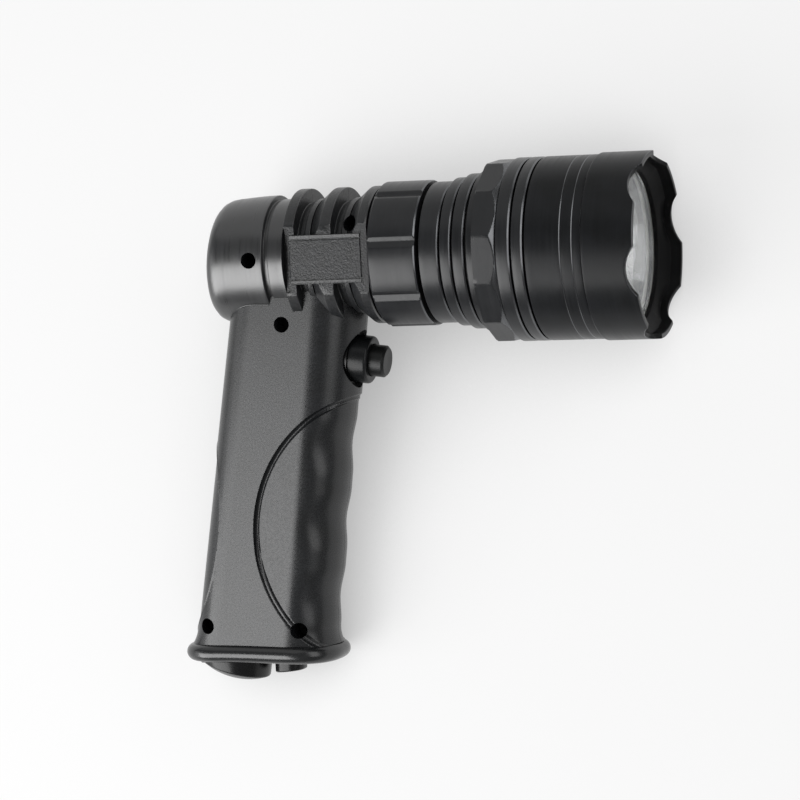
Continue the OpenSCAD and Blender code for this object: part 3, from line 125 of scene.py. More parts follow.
finishes = {
    # glass-filled nylon moulded in a spark-eroded tool: matte, with a fine even grain that breaks up the light
    "grainedNylon": {"dark": "#131415", "light": "#18191b", "patch": 9, "grain": 0.55, "relief": 0.012, "bump": 0.5,
                     "rough": (0.24, 0.34), "fleck": 0.16, "ior": 1.53, "spec": 0.45},
    # the same nylon moulded against a turned tool face: satin, with faint lines round the barrel
    "satinNylon": {"dark": "#131415", "light": "#18191b", "patch": 7, "grain": 0.7, "relief": 0.007, "bump": 0.35,
                   "rough": (0.27, 0.36), "fleck": 0.1, "ior": 1.53, "spec": 0.9, "stretch": turnedLines},
    # the ribs and pads, eroded coarser in the tool: duller, with a mottled face
    "ribNylon": {"dark": "#161718", "light": "#1c1d1f", "patch": 3, "grain": 0.6, "relief": 0.09, "bump": 1.0,
                 "rough": (0.3, 0.42), "fleck": 0.3, "ior": 1.53, "spec": 0.42},
    # ABS moulded in a polished tool: glossy black with a clean highlight
    "polishedAbs": {"dark": "#141516", "light": "#1a1b1c", "patch": 12, "grain": 0.8, "relief": 0.006, "bump": 0.2,
                    "rough": (0.2, 0.28), "fleck": 0.06, "ior": 1.54},
    # moulded nitrile rubber: near black, soft gloss
    "mouldedRubber": {"dark": "#0b0b0c", "light": "#101011", "patch": 6, "grain": 0.5, "relief": 0.012, "bump": 0.3,
                      "rough": (0.24, 0.32), "fleck": 0.08, "ior": 1.52, "spec": 0.28},
    # aluminium turned, bead-blasted and anodised black: satin, with fine rings from the tool
    "anodisedHead": {"dark": "#121314", "light": "#17181a", "patch": 10, "grain": 0.7, "relief": 0.008, "bump": 0.35,
                     "rough": (0.28, 0.36), "fleck": 0.1, "ior": 1.5, "spec": 0.15, "stretch": turnedLines},
    # the same on the neck ring and the fins: blasted finer, so a little brighter
    "anodisedRing": {"dark": "#151618", "light": "#1a1b1d", "patch": 8, "grain": 0.7, "relief": 0.008, "bump": 0.35,
                     "rough": (0.28, 0.36), "fleck": 0.1, "ior": 1.5, "spec": 0.34, "stretch": turnedLines},
    # bright metal painted on the front-facing edges as a highlight: thin bright lines
    "paintedEdgeHighlight": {"dark": "#5b5c5e", "light": "#68696b", "patch": 6, "grain": 0.5, "relief": 0.004, "bump": 0.2,
                "rough": (0.22, 0.32), "fleck": 0.1, "metal": 1.0, "stretch": turnedLines},
    # the inside of the bezel, blasted, and painted darker than the outside as shade in the recess: swallows the light
    "paintedShadeInside": {"dark": "#0a0a0b", "light": "#0e0e0f", "patch": 6, "grain": 0.5, "relief": 0.01, "bump": 0.3,
                   "rough": (0.45, 0.55), "fleck": 0.1, "ior": 1.5, "spec": 0.12},
    # aluminium turned and anodised, on the small collar of the switch: darker, with a soft gloss
    "anodisedCollar": {"dark": "#0f1011", "light": "#141516", "patch": 4, "grain": 0.3, "relief": 0.008, "bump": 0.3,
                       "rough": (0.26, 0.34), "fleck": 0.08, "ior": 1.5, "spec": 0.22},
    # nylon of the button, moulded in a lightly blasted tool: dark, with a wide dull highlight
    "buttonNylon": {"dark": "#101111", "light": "#151616", "patch": 4, "grain": 0.4, "relief": 0.015, "bump": 0.4,
                    "rough": (0.34, 0.44), "fleck": 0.1, "ior": 1.53, "spec": 0.25},
    # aluminium vapour on a lacquered bowl: a soft mirror, bright all over
    "silveredBowl": {"dark": "#f2f3f4", "light": "#f9f9fa", "patch": 14, "grain": 2.5, "relief": 0.001, "bump": 0.02,
                     "rough": (0.08, 0.13), "fleck": 0.02, "metal": 1.0},
    # clear float glass with a trace of green, coated so that it reflects less
    "floatGlass": {"dark": "#fafdfb", "light": "#ffffff", "patch": 30, "grain": 6, "relief": 0.001, "bump": 0.02,
                   "rough": (0.0, 0.015), "fleck": 0.0, "ior": 1.52, "clear": 1.0, "coated": 0.6},
    # cast white silicone of the gasket: a pale line round the glass
    "whiteSilicone": {"dark": "#dededa", "light": "#ebebe7", "patch": 4, "grain": 0.5, "relief": 0.01, "bump": 0.3,
                      "rough": (0.4, 0.5), "fleck": 0.04, "ior": 1.41},
    # black-oxide steel of the screws: dark metal, dull and a little mottled
    "oxidisedSteel": {"dark": "#1e1e20", "light": "#2c2c2e", "patch": 1.5, "grain": 0.2, "relief": 0.01, "bump": 0.4,
                      "rough": (0.35, 0.5), "fleck": 0.15, "metal": 1.0},
    # rolled steel plated with nickel: pale warm metal with a soft shine
    "nickelPlate": {"dark": "#b9b6ae", "light": "#c9c6bf", "patch": 3, "grain": 0.3, "relief": 0.005, "bump": 0.3,
                    "rough": (0.22, 0.34), "fleck": 0.06, "metal": 1.0},
    # drawn spring steel: grey metal, smooth along the wire
    "springWire": {"dark": "#9a9a98", "light": "#b0b0ad", "patch": 2, "grain": 0.25, "relief": 0.008, "bump": 0.3,
                   "rough": (0.25, 0.36), "fleck": 0.08, "metal": 1.0},
    # turned aluminium left bare: pale metal with fine rings
    "bareAluminium": {"dark": "#c3c4c6", "light": "#d2d3d5", "patch": 6, "grain": 0.3, "relief": 0.008, "bump": 0.4,
                      "rough": (0.28, 0.4), "fleck": 0.06, "metal": 1.0, "stretch": turnedLines},
    # stamped brass: yellow metal, satin
    "terminalBrass": {"dark": "#b08d46", "light": "#c6a45c", "patch": 2, "grain": 0.3, "relief": 0.006, "bump": 0.3,
                      "rough": (0.25, 0.38), "fleck": 0.08, "metal": 1.0},
    # glass-fibre board under green solder mask: half glossy green, a little uneven
    "solderMask": {"dark": "#123f22", "light": "#1b5a31", "patch": 3, "grain": 0.5, "relief": 0.02, "bump": 0.4,
                   "rough": (0.3, 0.42), "fleck": 0.12, "ior": 1.5},
    # metal-core board under white solder mask: even white, half matte
    "whiteMask": {"dark": "#d8d8d4", "light": "#ecece8", "patch": 4, "grain": 0.6, "relief": 0.01, "bump": 0.3,
                  "rough": (0.35, 0.45), "fleck": 0.04, "ior": 1.5},
    # nylon moulded in its natural white: soft and matte
    "whiteNylon": {"dark": "#dcdad2", "light": "#eceae3", "patch": 5, "grain": 0.5, "relief": 0.012, "bump": 0.3,
                   "rough": (0.4, 0.5), "fleck": 0.04, "ior": 1.53},
    # phosphor under clear silicone: yellow with a wet gloss
    "phosphorDome": {"dark": "#d9b52b", "light": "#ecd15a", "patch": 1.5, "grain": 0.15, "relief": 0.006, "bump": 0.2,
                     "rough": (0.1, 0.2), "fleck": 0.08, "ior": 1.43, "coat": 0.6, "coatRough": 0.05},
    # shrink film round the cells: smooth blue with a plain gloss
    "cellFilm": {"dark": "#1f3f86", "light": "#2a52a5", "patch": 8, "grain": 0.9, "relief": 0.01, "bump": 0.3,
                 "rough": (0.22, 0.32), "fleck": 0.06, "ior": 1.5},
    # closed-cell foam, sliced: dark grey and dull, with open pores
    "closedFoam": {"dark": "#2f3032", "light": "#3b3c3e", "patch": 3, "grain": 0.7, "relief": 0.12, "bump": 0.8,
                   "rough": (0.8, 0.92), "fleck": 0.2, "ior": 1.45},
    # ferrite, pressed and fired: dark grey, matte and grainy
    "ferrite": {"dark": "#262628", "light": "#343437", "patch": 2, "grain": 0.25, "relief": 0.02, "bump": 0.5,
                "rough": (0.5, 0.62), "fleck": 0.15, "ior": 1.6},
    # phenolic resin, moulded: deep red and smooth
    "redPhenolic": {"dark": "#5c1614", "light": "#701d1a", "patch": 4, "grain": 0.4, "relief": 0.012, "bump": 0.3,
                    "rough": (0.3, 0.4), "fleck": 0.1, "ior": 1.55},
    # silicone sleeves of the leads, extruded: even colour, half matte
    "redSilicone": {"dark": "#8f1a16", "light": "#a8231e", **silicone},
    "blackSilicone": {"dark": "#161616", "light": "#1f1f20", **silicone},
    "orangeSilicone": {"dark": "#b2561a", "light": "#c8662a", **silicone},
}
made = {name: finish(name, look) for name, look in finishes.items()}

nodeFinish = {
    "housing_screws": "oxidisedSteel", "charge_jack": "polishedAbs", "jack_nut": "nickelPlate",
    "charge_board": "solderMask", "cover_root": "mouldedRubber", "front_cell": "cellFilm", "rear_cell": "cellFilm",
    "positive_strip": "nickelPlate", "negative_strip": "nickelPlate", "cell_pads": "closedFoam",
    "switch_spring": "springWire", "switch_seal": "mouldedRubber", "switch_nut": "nickelPlate",
    "switch_body": "redPhenolic", "switch_terminals": "terminalBrass", "neck_oring": "mouldedRubber",
    "lens_seal": "whiteSilicone", "led_holder": "whiteNylon", "led_emitter": "phosphorDome", "led_board": "whiteMask",
    "heat_pill": "bareAluminium", "driver_board": "solderMask", "driver_parts": "ferrite", "led_leads": "redSilicone",
    "lamp_lead_live": "redSilicone", "lamp_lead_return": "blackSilicone", "switch_lead": "orangeSilicone",
    "charge_lead_live": "redSilicone", "charge_lead_return": "blackSilicone",
}
for name, look in nodeFinish.items():
    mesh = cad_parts[name].data
    mesh.materials.clear()
    mesh.materials.append(made[look])
print("finishes made:", len(made))


# mesh tools, in mm

filletShare = 0.48  # of a neighbouring edge that one fillet may take
weldWithin = 1e-7  # metres
farOut = 40  # past the outside of whatever a cutter meets
edgeFacing = (0.3, 0.75)  # how far the normal of a front-facing edge points along the beam: on the metal parts these edges get the painted highlight, on the barrel the satin finish


def filleted(corners, steps=5):  # corners are (along, out) or (along, out, fillet)
    line = []
    for i, corner in enumerate(corners):
        here = Vector(corner[:2])
        size = corner[2] if len(corner) > 2 else 0
        if not size or i in (0, len(corners) - 1):
            line.append(here)
            continue
        back, ahead = Vector(corners[i - 1][:2]) - here, Vector(corners[i + 1][:2]) - here
        turn = back.angle(ahead)
        reach = min(size / math.tan(turn / 2), back.length * filletShare, ahead.length * filletShare)
        a, b = here + back.normalized() * reach, here + ahead.normalized() * reach
        for k in range(steps + 1):
            t = k / steps
            line.append(a * (1 - t) ** 2 + here * 2 * t * (1 - t) + b * t * t)
    return line


def dense(line, step):
    out = [line[0]]
    for a, b in zip(line, line[1:]):
        count = max(1, math.ceil((b - a).length / step))
        out += [a.lerp(b, k / count) for k in range(1, count + 1)]
    return out


def ease(value, low, high):
    t = min(1, max(0, (value - low) / (high - low)))
    return t * t * (3 - 2 * t)


def hump(t):  # 1 in the middle, falling to 0 at -1 and at 1
    return 0.5 + 0.5 * math.cos(math.pi * t) if abs(t) < 1 else 0.0


def quarter(count):
    return [math.pi / 2 * k / count for k in range(count + 1)]


def roundWays(count):
    return [(math.cos(2 * math.pi * k / count), math.sin(2 * math.pi * k / count)) for k in range(count)]


def toObject(name, mesh):
    data = bpy.data.meshes.new(name)
    mesh.to_mesh(data)
    mesh.free()
    thing = bpy.data.objects.new(name, data)
    bpy.context.scene.collection.objects.link(thing)
    return thing


def fromRings(name, rings, loop=True, capEnds=False):  # rings of points, joined in their order
    mesh = bmesh.new()
    rows = [[mesh.verts.new(place(*p)) for p in ring] for ring in rings]
    count = len(rows)
    for i in range(count if loop else count - 1):
        a, b = rows[i], rows[(i + 1) % count]
        for j in range(len(a) - 1):
            mesh.faces.new((a[j], a[j + 1], b[j + 1], b[j]))
        if capEnds:
            mesh.faces.new((a[-1], a[0], b[0], b[-1]))
    if capEnds and not loop:
        mesh.faces.new(rows[0])
        mesh.faces.new(list(reversed(rows[-1])))
    bmesh.ops.remove_doubles(mesh, verts=mesh.verts, dist=weldWithin)
    bmesh.ops.dissolve_degenerate(mesh, edges=mesh.edges, dist=weldWithin)
    bmesh.ops.recalc_face_normals(mesh, faces=mesh.faces)
    return toObject(name, mesh)


def turned(name, line, segments, shape=None, aim=None):
    rings = []
    for k in range(segments):
        angle = 2 * math.pi * k / segments
        ring = []
        for p in line:
            u, r = shape(p.x, p.y, angle) if shape else (p.x, p.y)
            spot = Vector((u, r * math.sin(angle), r * math.cos(angle)))
            ring.append(aim @ spot if aim else spot)
        rings.append(ring)
    return fromRings(name, rings, capEnds=True)


def block(name, low, high, turn=None):
    mesh = bmesh.new()
    corners = [Vector((x, y, z)) for x in (low[0], high[0]) for y in (low[1], high[1]) for z in (low[2], high[2])]
    verts = [mesh.verts.new(place(*(turn @ c if turn else c))) for c in corners]
    for face in ((0, 1, 3, 2), (4, 6, 7, 5), (0, 4, 5, 1), (2, 3, 7, 6), (0, 2, 6, 4), (1, 5, 7, 3)):
        mesh.faces.new([verts[i] for i in face])
    bmesh.ops.recalc_face_normals(mesh, faces=mesh.faces)
    return toObject(name, mesh)


def post(name, x, y, radius, low, high, count=48):
    rings = [[(x + radius * c, y + radius * s, z) for c, s in roundWays(count)] for z in (low, high)]
    return fromRings(name, rings, loop=False, capEnds=True)


def combine(target, tool, how):
    step = target.modifiers.new(how.lower(), "BOOLEAN")
    step.operation, step.object, step.solver = how, tool, "MANIFOLD"
    bpy.context.view_layer.update()
    result = bpy.data.meshes.new_from_object(target.evaluated_get(bpy.context.evaluated_depsgraph_get()))
    target.modifiers.clear()
    target.data = result
    bpy.data.objects.remove(tool)


def facesAhead(normal):
    return edgeFacing[0] < normal.x < edgeFacing[1]


def dress(thing, look, test):  # a second finish on the faces that pass the test
    thing.data.materials.append(made[look])
    last = len(thing.data.materials) - 1
    for face in thing.data.polygons:
        spot = Vector(face.center) / mm - axisPlace
        if test(spot, face.normal, face.normal.yz.dot(spot.yz) > 0):
            face.material_index = last


def settle(thing, look, body, nodes, angle):  # edges sharper than the angle stay crisp
    if look:
        thing.data.materials.clear()
        thing.data.materials.append(made[look])
    thing.data.shade_smooth()
    thing.data.set_sharp_from_angle(angle=math.radians(angle))
    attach(thing, body)
    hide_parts(*nodes)


# housing: two moulded halves

barrel = {"tailLength": 20.1, "tailRadius": 19.7, "tailRear": 19.2, "tailRound": 6.0, "tailLean": 1.5, "tailDrop": 0.02,
          "leanFrom": (3, 17), "grooveWidth": 1.4, "grooveRadius": 18, "shoulder": 18.4, "ribRadius": 21.4,
          "ribs": (7.4, 19.5, 31.6), "ribWidth": 3.3, "valley": 16.9, "ledge": 17.3, "ledgeStart": 0.9,
          "firstFlank": 1.2, "flank": 4.3, "crest": 18.1, "crestWidth": 2.0, "lineWidth": 0.45, "lineDepth": 0.9,
          "flat": 18.5, "flatBefore": 0.8, "end": 34.45, "endChamfer": (0.5, 0.32), "edge": 0.35}
pad = {"start": 8.6, "end": 32.2, "half": 7.6, "top": 18.9, "rim": 1.1, "tilt": 0.22, "chamfer": 0.1,
       "rearChamfer": 0.6, "line": 0.4, "root": 15.0, "slot": (6.6, 8.6), "slotHalf": 10.0, "slotFloor": 16.5}
grip = {"half": 14.1, "level": -20, "front": 26.3, "width": 43.2, "frontLean": 7.85, "rearLean": 9.6, "corner": 10,
        "top": -4, "foot": -120.5, "under": 1.1, "rowStep": 0.5, "wall": 2.4, "nose": 4.25, "flare": 0.9,
        "flareHeight": 4.5, "flareCurve": 2.2, "flareFaces": (0.3, 0.8)}
gripPoints = {"front": 26, "side": 60, "corner": 18, "rear": 4}  # along half of a section
# panel: the sunk front of each side, inside an arc with a groove; palm: the rear, inside an arc with a ridge
panel = {"centre": (35.1, -86.5), "radius": 43.8, "step": 0.95, "sink": 0.25, "slope": (0.4, 1.1), "grooveHalf": 0.95,
         "grooveDepth": 1.6, "noseLoss": 0.75, "pairWidth": 0.85, "pairApart": 0.68, "pairDepth": 0.6,
         "pairFrom": (-106, -86), "fineWithin": 1.4}
fingers = {"levels": (-59.1, -82.9, -106.7), "depth": 0.9, "half": 9.5, "faces": (0.1, 0.75)}
palm = {"centre": (-98.9, -74.7), "radius": 78, "step": 0.4, "sink": 0.17, "slope": (-0.2, 0.4), "ridge": 0.2,
        "ridgeHalf": 0.45, "fineWithin": 0.7}
# tailLine: the bead where the grip runs into the tail; hollow: the room for cells, switch and leads
tailLine = {"radius": 0.35, "sides": 10, "from": -0.3, "levelAt": -3, "straight": 6, "turns": 11, "turnStep": 5}
hollow = {"top": -6, "aboveFoot": 1.5, "rows": 24, "corner": 7.6, "coarse": 0.4, "seatBlock": 11.5,
          "core": (-17.9, 31.6), "coreRadius": 14.8, "neckRadius": 10.2, "ledge": (-23.4, -1.2), "ledgeHalf": 8,
          "ledgeRise": 3, "bossReach": 17}
screws = {"spots": ((-4.4, 0.4), (28.3, 10.6), (3.4, -20.1), (-27.1, -114.6), (3.43, -116.25)), "recess": 2.5,
          "seat": 4.0, "shank": 1.2, "shankFrom": -9, "shankTo": 6, "boss": 3.7}
switch = {"drop": -32.4, "seat": -3.33, "seatRadius": 9.1, "seatReach": 30, "wall": 2.4, "hole": 6.1, "holeDepth": 9,
          "nutRoom": (8.27, 9.5, 4.0)}
around = {"low": (-90, -160, -60), "high": (90, 60, 60)}  # a box past the whole housing
seamGap = 0.06  # half of the parting gap between the halves


def frontEdge(y):
    return grip["front"] + math.tan(math.radians(grip["frontLean"])) * (y - grip["level"])


def rearEdge(y):
    return grip["front"] - grip["width"] + math.tan(math.radians(grip["rearLean"])) * (y - grip["level"])


switchTurn = Matrix.Translation((frontEdge(switch["drop"]), switch["drop"], 0)) @ Matrix.Rotation(
    -math.radians(grip["frontLean"]), 4, "Z")


def gripSection(y, half, nose, back, corner, fine=1.0):
    front, rear = frontEdge(y) - nose, rearEdge(y) + back
    squash = 1 / math.cos(math.radians(grip["frontLean"]))
    rearSquash = 1 / math.cos(math.radians(grip["rearLean"]))
    noseX, cornerX = front - half * squash, rear + corner * rearSquash
    count = {key: max(2, round(n * fine)) for key, n in gripPoints.items()}
    side = [(noseX + half * squash * math.cos(t), half * math.sin(t)) for t in quarter(count["front"])[:-1]]
    for k in range(count["side"]):
        side.append((noseX + (cornerX - noseX) * (k / count["side"]), half))
    for t in quarter(count["corner"])[:-1]:
        side.append((cornerX - corner * rearSquash * math.sin(t), half - corner + corner * math.cos(t)))
    for k in range(count["rear"] + 1):
        side.append((rear, (half - corner) * (1 - k / count["rear"])))
    return [(x, y, z) for x, z in side] + [(x, y, -z) for x, z in reversed(side[1:-1])]


def fromArc(p, arc):
    return math.hypot(p.x - arc["centre"][0], p.y - arc["centre"][1]) - arc["radius"]


def gripRelief(p, n):  # how far a point of the plain grip goes in
    nose = max(0.0, n.x) ** 2
    away = fromArc(p, panel)
    depth = ease(-away, *panel["slope"]) * (panel["sink"] + (panel["step"] - panel["sink"]) * nose)
    single = ease(p.y, *panel["pairFrom"])  # one deep groove, which splits into a pair towards the foot
    groove = panel["grooveDepth"] * math.sqrt(max(0.0, 1 - (away / panel["grooveHalf"]) ** 2)) * single
    groove += panel["pairDepth"] * hump(2 * (abs(away) - panel["pairApart"]) / panel["pairWidth"]) * (1 - single)
    depth += groove * (1 - panel["noseLoss"] * nose)
    for level in fingers["levels"]:
        depth += fingers["depth"] * hump((p.y - level) / fingers["half"]) * ease(n.x, *fingers["faces"])
    inside = -fromArc(p, palm)
    depth += ease(inside, *palm["slope"]) * (palm["sink"] + (palm["step"] - palm["sink"]) * max(0.0, -n.x))
    depth -= palm["ridge"] * hump(inside / palm["ridgeHalf"])
    rise = (grip["foot"] + grip["flareHeight"] - p.y) / grip["flareHeight"]
    if rise > 0:
        depth -= grip["flare"] * rise ** grip["flareCurve"] * ease(abs(n.x), *grip["flareFaces"])
    return depth


def gripSolid():
    drop = grip["top"] - grip["foot"] + grip["under"]
    rows = round(drop / grip["rowStep"])
    mesh = bmesh.new()
    grid = []
    for row in range(rows + 1):
        ring = gripSection(grip["top"] - drop * row / rows, grip["half"], 0, 0, grip["corner"])
        grid.append([mesh.verts.new(p) for p in ring])
    for a, b in zip(grid, grid[1:]):
        for j in range(len(a)):
            k = (j + 1) % len(a)
            mesh.faces.new((a[j], b[j], b[k], a[k]))
    near = set()  # faces along the panel's groove and the palm's ridge are cut finer
    for face in mesh.faces:
        middle = face.calc_center_median()
        if any(abs(fromArc(middle, arc)) < arc["fineWithin"] for arc in (panel, palm)):
            near.add(face)
    edges = [e for e in mesh.edges if any(f in near for f in e.link_faces)]
    bmesh.ops.subdivide_edges(mesh, edges=edges, cuts=3, use_grid_fill=True)
    bmesh.ops.reverse_faces(mesh, faces=mesh.faces)  # normals outwards
    mesh.normal_update()
    moves = [(v, v.normal * -gripRelief(v.co, v.normal)) for v in mesh.verts]
    for v, move in moves:
        v.co += move
    bmesh.ops.holes_fill(mesh, edges=[e for e in mesh.edges if e.is_boundary], sides=0)
    bmesh.ops.recalc_face_normals(mesh, faces=mesh.faces)
    for v in mesh.verts:
        v.co = place(*v.co)
    return toObject("grip", mesh)


def barrelSolid():
    b, e = barrel, barrel["edge"]
    first = b["ribs"][0]
    corners = [(-b["tailLength"], 0), (-b["tailLength"], b["tailRear"], b["tailRound"]), (0, b["tailRadius"], e),
               (0, b["grooveRadius"], 0.25), (b["grooveWidth"], b["grooveRadius"], 0.25),
               (b["grooveWidth"], b["shoulder"], 0.25), (first - b["firstFlank"], b["shoulder"], 0.3),
               (first, b["ribRadius"], e)]
    for u, ahead in zip(b["ribs"], b["ribs"][1:]):
        wall, line = u + b["ribWidth"], ahead - b["flank"]
        ledge, crest, low = wall + b["ledgeStart"], line - b["crestWidth"], b["crest"] - b["lineDepth"]
        corners += [(wall, b["ribRadius"], e), (wall, b["valley"], 0.2), (ledge, b["valley"], 0.1),
                    (ledge + 0.15, b["ledge"], 0.15), (crest, b["ledge"], 0.2), (crest + 0.3, b["crest"], 0.3),
                    (line, b["crest"], 0.2), (line, low), (line + b["lineWidth"], low),
                    (line + b["lineWidth"], b["crest"] + 0.2, 0.2), (ahead, b["ribRadius"], 0.6)]
    along, down = b["endChamfer"]
    corners += [(b["end"] - along, b["ribRadius"], 0.1), (b["end"], b["ribRadius"] - down, 0.1), (b["end"], 0)]

    def leaned(u, radius, angle):
        up = math.sin(angle) * radius / b["tailRadius"] * ease(-u, *b["leanFrom"])
        return u + b["tailLean"] * up, radius * (1 - b["tailDrop"] * up)

    solid = turned("barrel", dense(filleted(corners), 1.2), 240, shape=leaned)
    rear, front = pad["slot"]
    for side in (1, -1):
        low, high = sorted((b["flat"] * side, farOut * side))
        flat = block("flat", (first - b["flatBefore"], -farOut, low), (b["end"] + 1, farOut, high))
        combine(solid, flat, "DIFFERENCE")
        low, high = sorted((pad["slotFloor"] * side, farOut * side))
        combine(solid, block("slot", (rear, -pad["slotHalf"], low), (front, pad["slotHalf"], high)), "DIFFERENCE")
    return solid


def padSolid(side):
    h, c, tilt = pad["half"], pad["chamfer"], pad["tilt"]
    line = pad["line"]
    inner = h - pad["rim"]

    def rim(z, s):
        return [(s * h, z + s * tilt - c), (s * (h - c), z + s * tilt), (s * inner, z), (s * (inner - c), z - line),
                (s * (inner - c - line), z - line), (s * (inner - 2 * c - line), z)]

    def outline(z):
        return [(-h, pad["root"]), (h, pad["root"])] + rim(z, 1) + rim(z, -1)[::-1]

    stations = ((pad["start"], pad["rearChamfer"]), (pad["start"] + pad["rearChamfer"], 0), (pad["end"], 0))
    rings = [[(u, y, z * side) for y, z in outline(pad["top"] - drop)] for u, drop in stations]
    return fromRings("pad", rings, loop=False, capEnds=True)


def tailJoint(side):
    t, b = tailLine, barrel
    half, corner, squash = grip["half"], grip["corner"], 1 / math.cos(math.radians(grip["rearLean"]))

    def onTail(x, z):
        radius = b["tailRear"] + (b["tailRadius"] - b["tailRear"]) * (x / b["tailLength"] + 1)
        return Vector((x, -math.sqrt(radius ** 2 - z ** 2), z * side))

    turn = rearEdge(onTail(t["levelAt"], half).y) + corner * squash
    points = [onTail(t["from"] + (turn - t["from"]) * k / t["straight"], half) for k in range(t["straight"] + 1)]
    for k in range(1, t["turns"] + 1):
        angle = math.radians(t["turnStep"] * k)
        points.append(onTail(turn - corner * squash * math.sin(angle), half - corner + corner * math.cos(angle)))
    return points


def beadAlong(points, radius, sides):
    rings = []
    for i, p in enumerate(points):
        way = (points[min(i + 1, len(points) - 1)] - points[max(i - 1, 0)]).normalized()
        across = way.cross(Vector((0, 1, 0))).normalized()
        over = across.cross(way)
        rings.append([p + (across * c + over * s) * radius for c, s in roundWays(sides)])
    return fromRings("bead", rings, loop=False, capEnds=True)


def hollowSolid():
    h, wall = hollow, grip["wall"]
    low = grip["foot"] + h["aboveFoot"]
    levels = [h["top"] + (low - h["top"]) * k / h["rows"] for k in range(h["rows"] + 1)]
    rings = [gripSection(y, grip["half"] - wall, grip["nose"], wall, h["corner"], h["coarse"]) for y in levels]
    solid = fromRings("hollow", rings, loop=False, capEnds=True)
    inner = switch["seat"] - switch["wall"]
    seatBlock = filleted([(inner, 0), (inner, h["seatBlock"]), (farOut, h["seatBlock"]), (farOut, 0)])
    combine(solid, turned("seatBlock", seatBlock, 64, aim=switchTurn), "DIFFERENCE")
    y, z, deep = switch["nutRoom"]
    combine(solid, block("nutRoom", (inner - deep, -y, -z), (inner, y, z), switchTurn), "UNION")
    rear, front = h["core"]
    core = filleted([(rear, 0), (rear, h["coreRadius"]), (front, h["coreRadius"]), (front, h["neckRadius"]),
                     (farOut, h["neckRadius"]), (farOut, 0)])
    combine(solid, turned("core", core, 96), "UNION")
    rear, front = h["ledge"]
    ledge = block("ledge", (rear, grip["foot"] - h["ledgeRise"], -h["ledgeHalf"]),
                  (front, grip["foot"] + h["ledgeRise"], h["ledgeHalf"]))
    combine(solid, ledge, "UNION")
    for x, y in screws["spots"]:
        combine(solid, post("boss", x, y, screws["boss"], -h["bossReach"], h["bossReach"]), "DIFFERENCE")
    return solid


def housing():
    looks = ("grainedNylon", "satinNylon", "ribNylon")  # grip, barrel, ribs and pads
    body, tube = gripSolid(), barrelSolid()
    for side in (1, -1):
        combine(tube, padSolid(side), "UNION")
    tube.data.materials.clear()
    for look in looks:
        body.data.materials.append(made[look])
        tube.data.materials.append(made[look])
    ribStart = (barrel["ribs"][0] - barrel["firstFlank"] + axisPlace.x) * mm
    ribbed = [face.center.x > ribStart and not facesAhead(face.normal) for face in tube.data.polygons]
    tube.data.polygons.foreach_set("material_index", [1 + rib for rib in ribbed])
    tube.data.update()
    combine(body, tube, "UNION")
    for side in (1, -1):
        combine(body, beadAlong(tailJoint(side), tailLine["radius"], tailLine["sides"]), "UNION")
    combine(body, hollowSolid(), "DIFFERENCE")
    for x, y in screws["spots"]:
        combine(body, post("recess", x, y, screws["recess"], screws["seat"], farOut), "DIFFERENCE")
        combine(body, post("shank", x, y, screws["shank"], screws["shankFrom"], screws["shankTo"], 24), "DIFFERENCE")
    low, high, r = switch["seat"], switch["seatReach"], switch["seatRadius"]
    seat = filleted([(low, 0), (low, r), (high, r), (high, 0)])
    combine(body, turned("seat", seat, 120, aim=switchTurn), "DIFFERENCE")
    low, r = -switch["holeDepth"], switch["hole"]
    hole = filleted([(low, 0), (low, r), (0, r), (0, 0)])
    combine(body, turned("hole", hole, 64, aim=switchTurn), "DIFFERENCE")
    left = body.copy()
    left.data = body.data.copy()
    bpy.context.scene.collection.objects.link(left)
    combine(body, block("leftSide", around["low"], (*around["high"][:2], seamGap)), "DIFFERENCE")
    combine(left, block("rightSide", (*around["low"][:2], -seamGap), around["high"]), "DIFFERENCE")
    count = len(looks)
    for half in (body, left):
        for face in half.data.polygons:
            face.material_index = min(face.material_index, count) % count  # cut faces take the grip's finish
        while len(half.data.materials) > count:
            half.data.materials.pop()
    body.name, left.name = "right_shell", "left_shell"
    settle(body, None, "body", ["right_housing"], 34)
    settle(left, None, "body", ["left_housing"], 34)


housing()
print("housing halves made")

# fluted neck ring, with the flange that the housing traps and the sleeve that goes into the head

neck = {"start": 35.4, "length": 15.5, "radius": 22.55, "chamfer": 0.75, "frontChamfer": (0.5, 0.32), "flutes": 8,
        "fluteUp": 1.2, "fluteLow": 2.2, "fluteDepth": 0.75, "fluteAbove": 19, "turn": 13.1, "flange": (28.4, 31.4),
        "flangeRadius": 14.5, "spigot": 10, "bore": 4, "floor": 40, "sleeveEnd": 58.5, "sleeve": 18.3,
        "sleeveBore": 15.5}


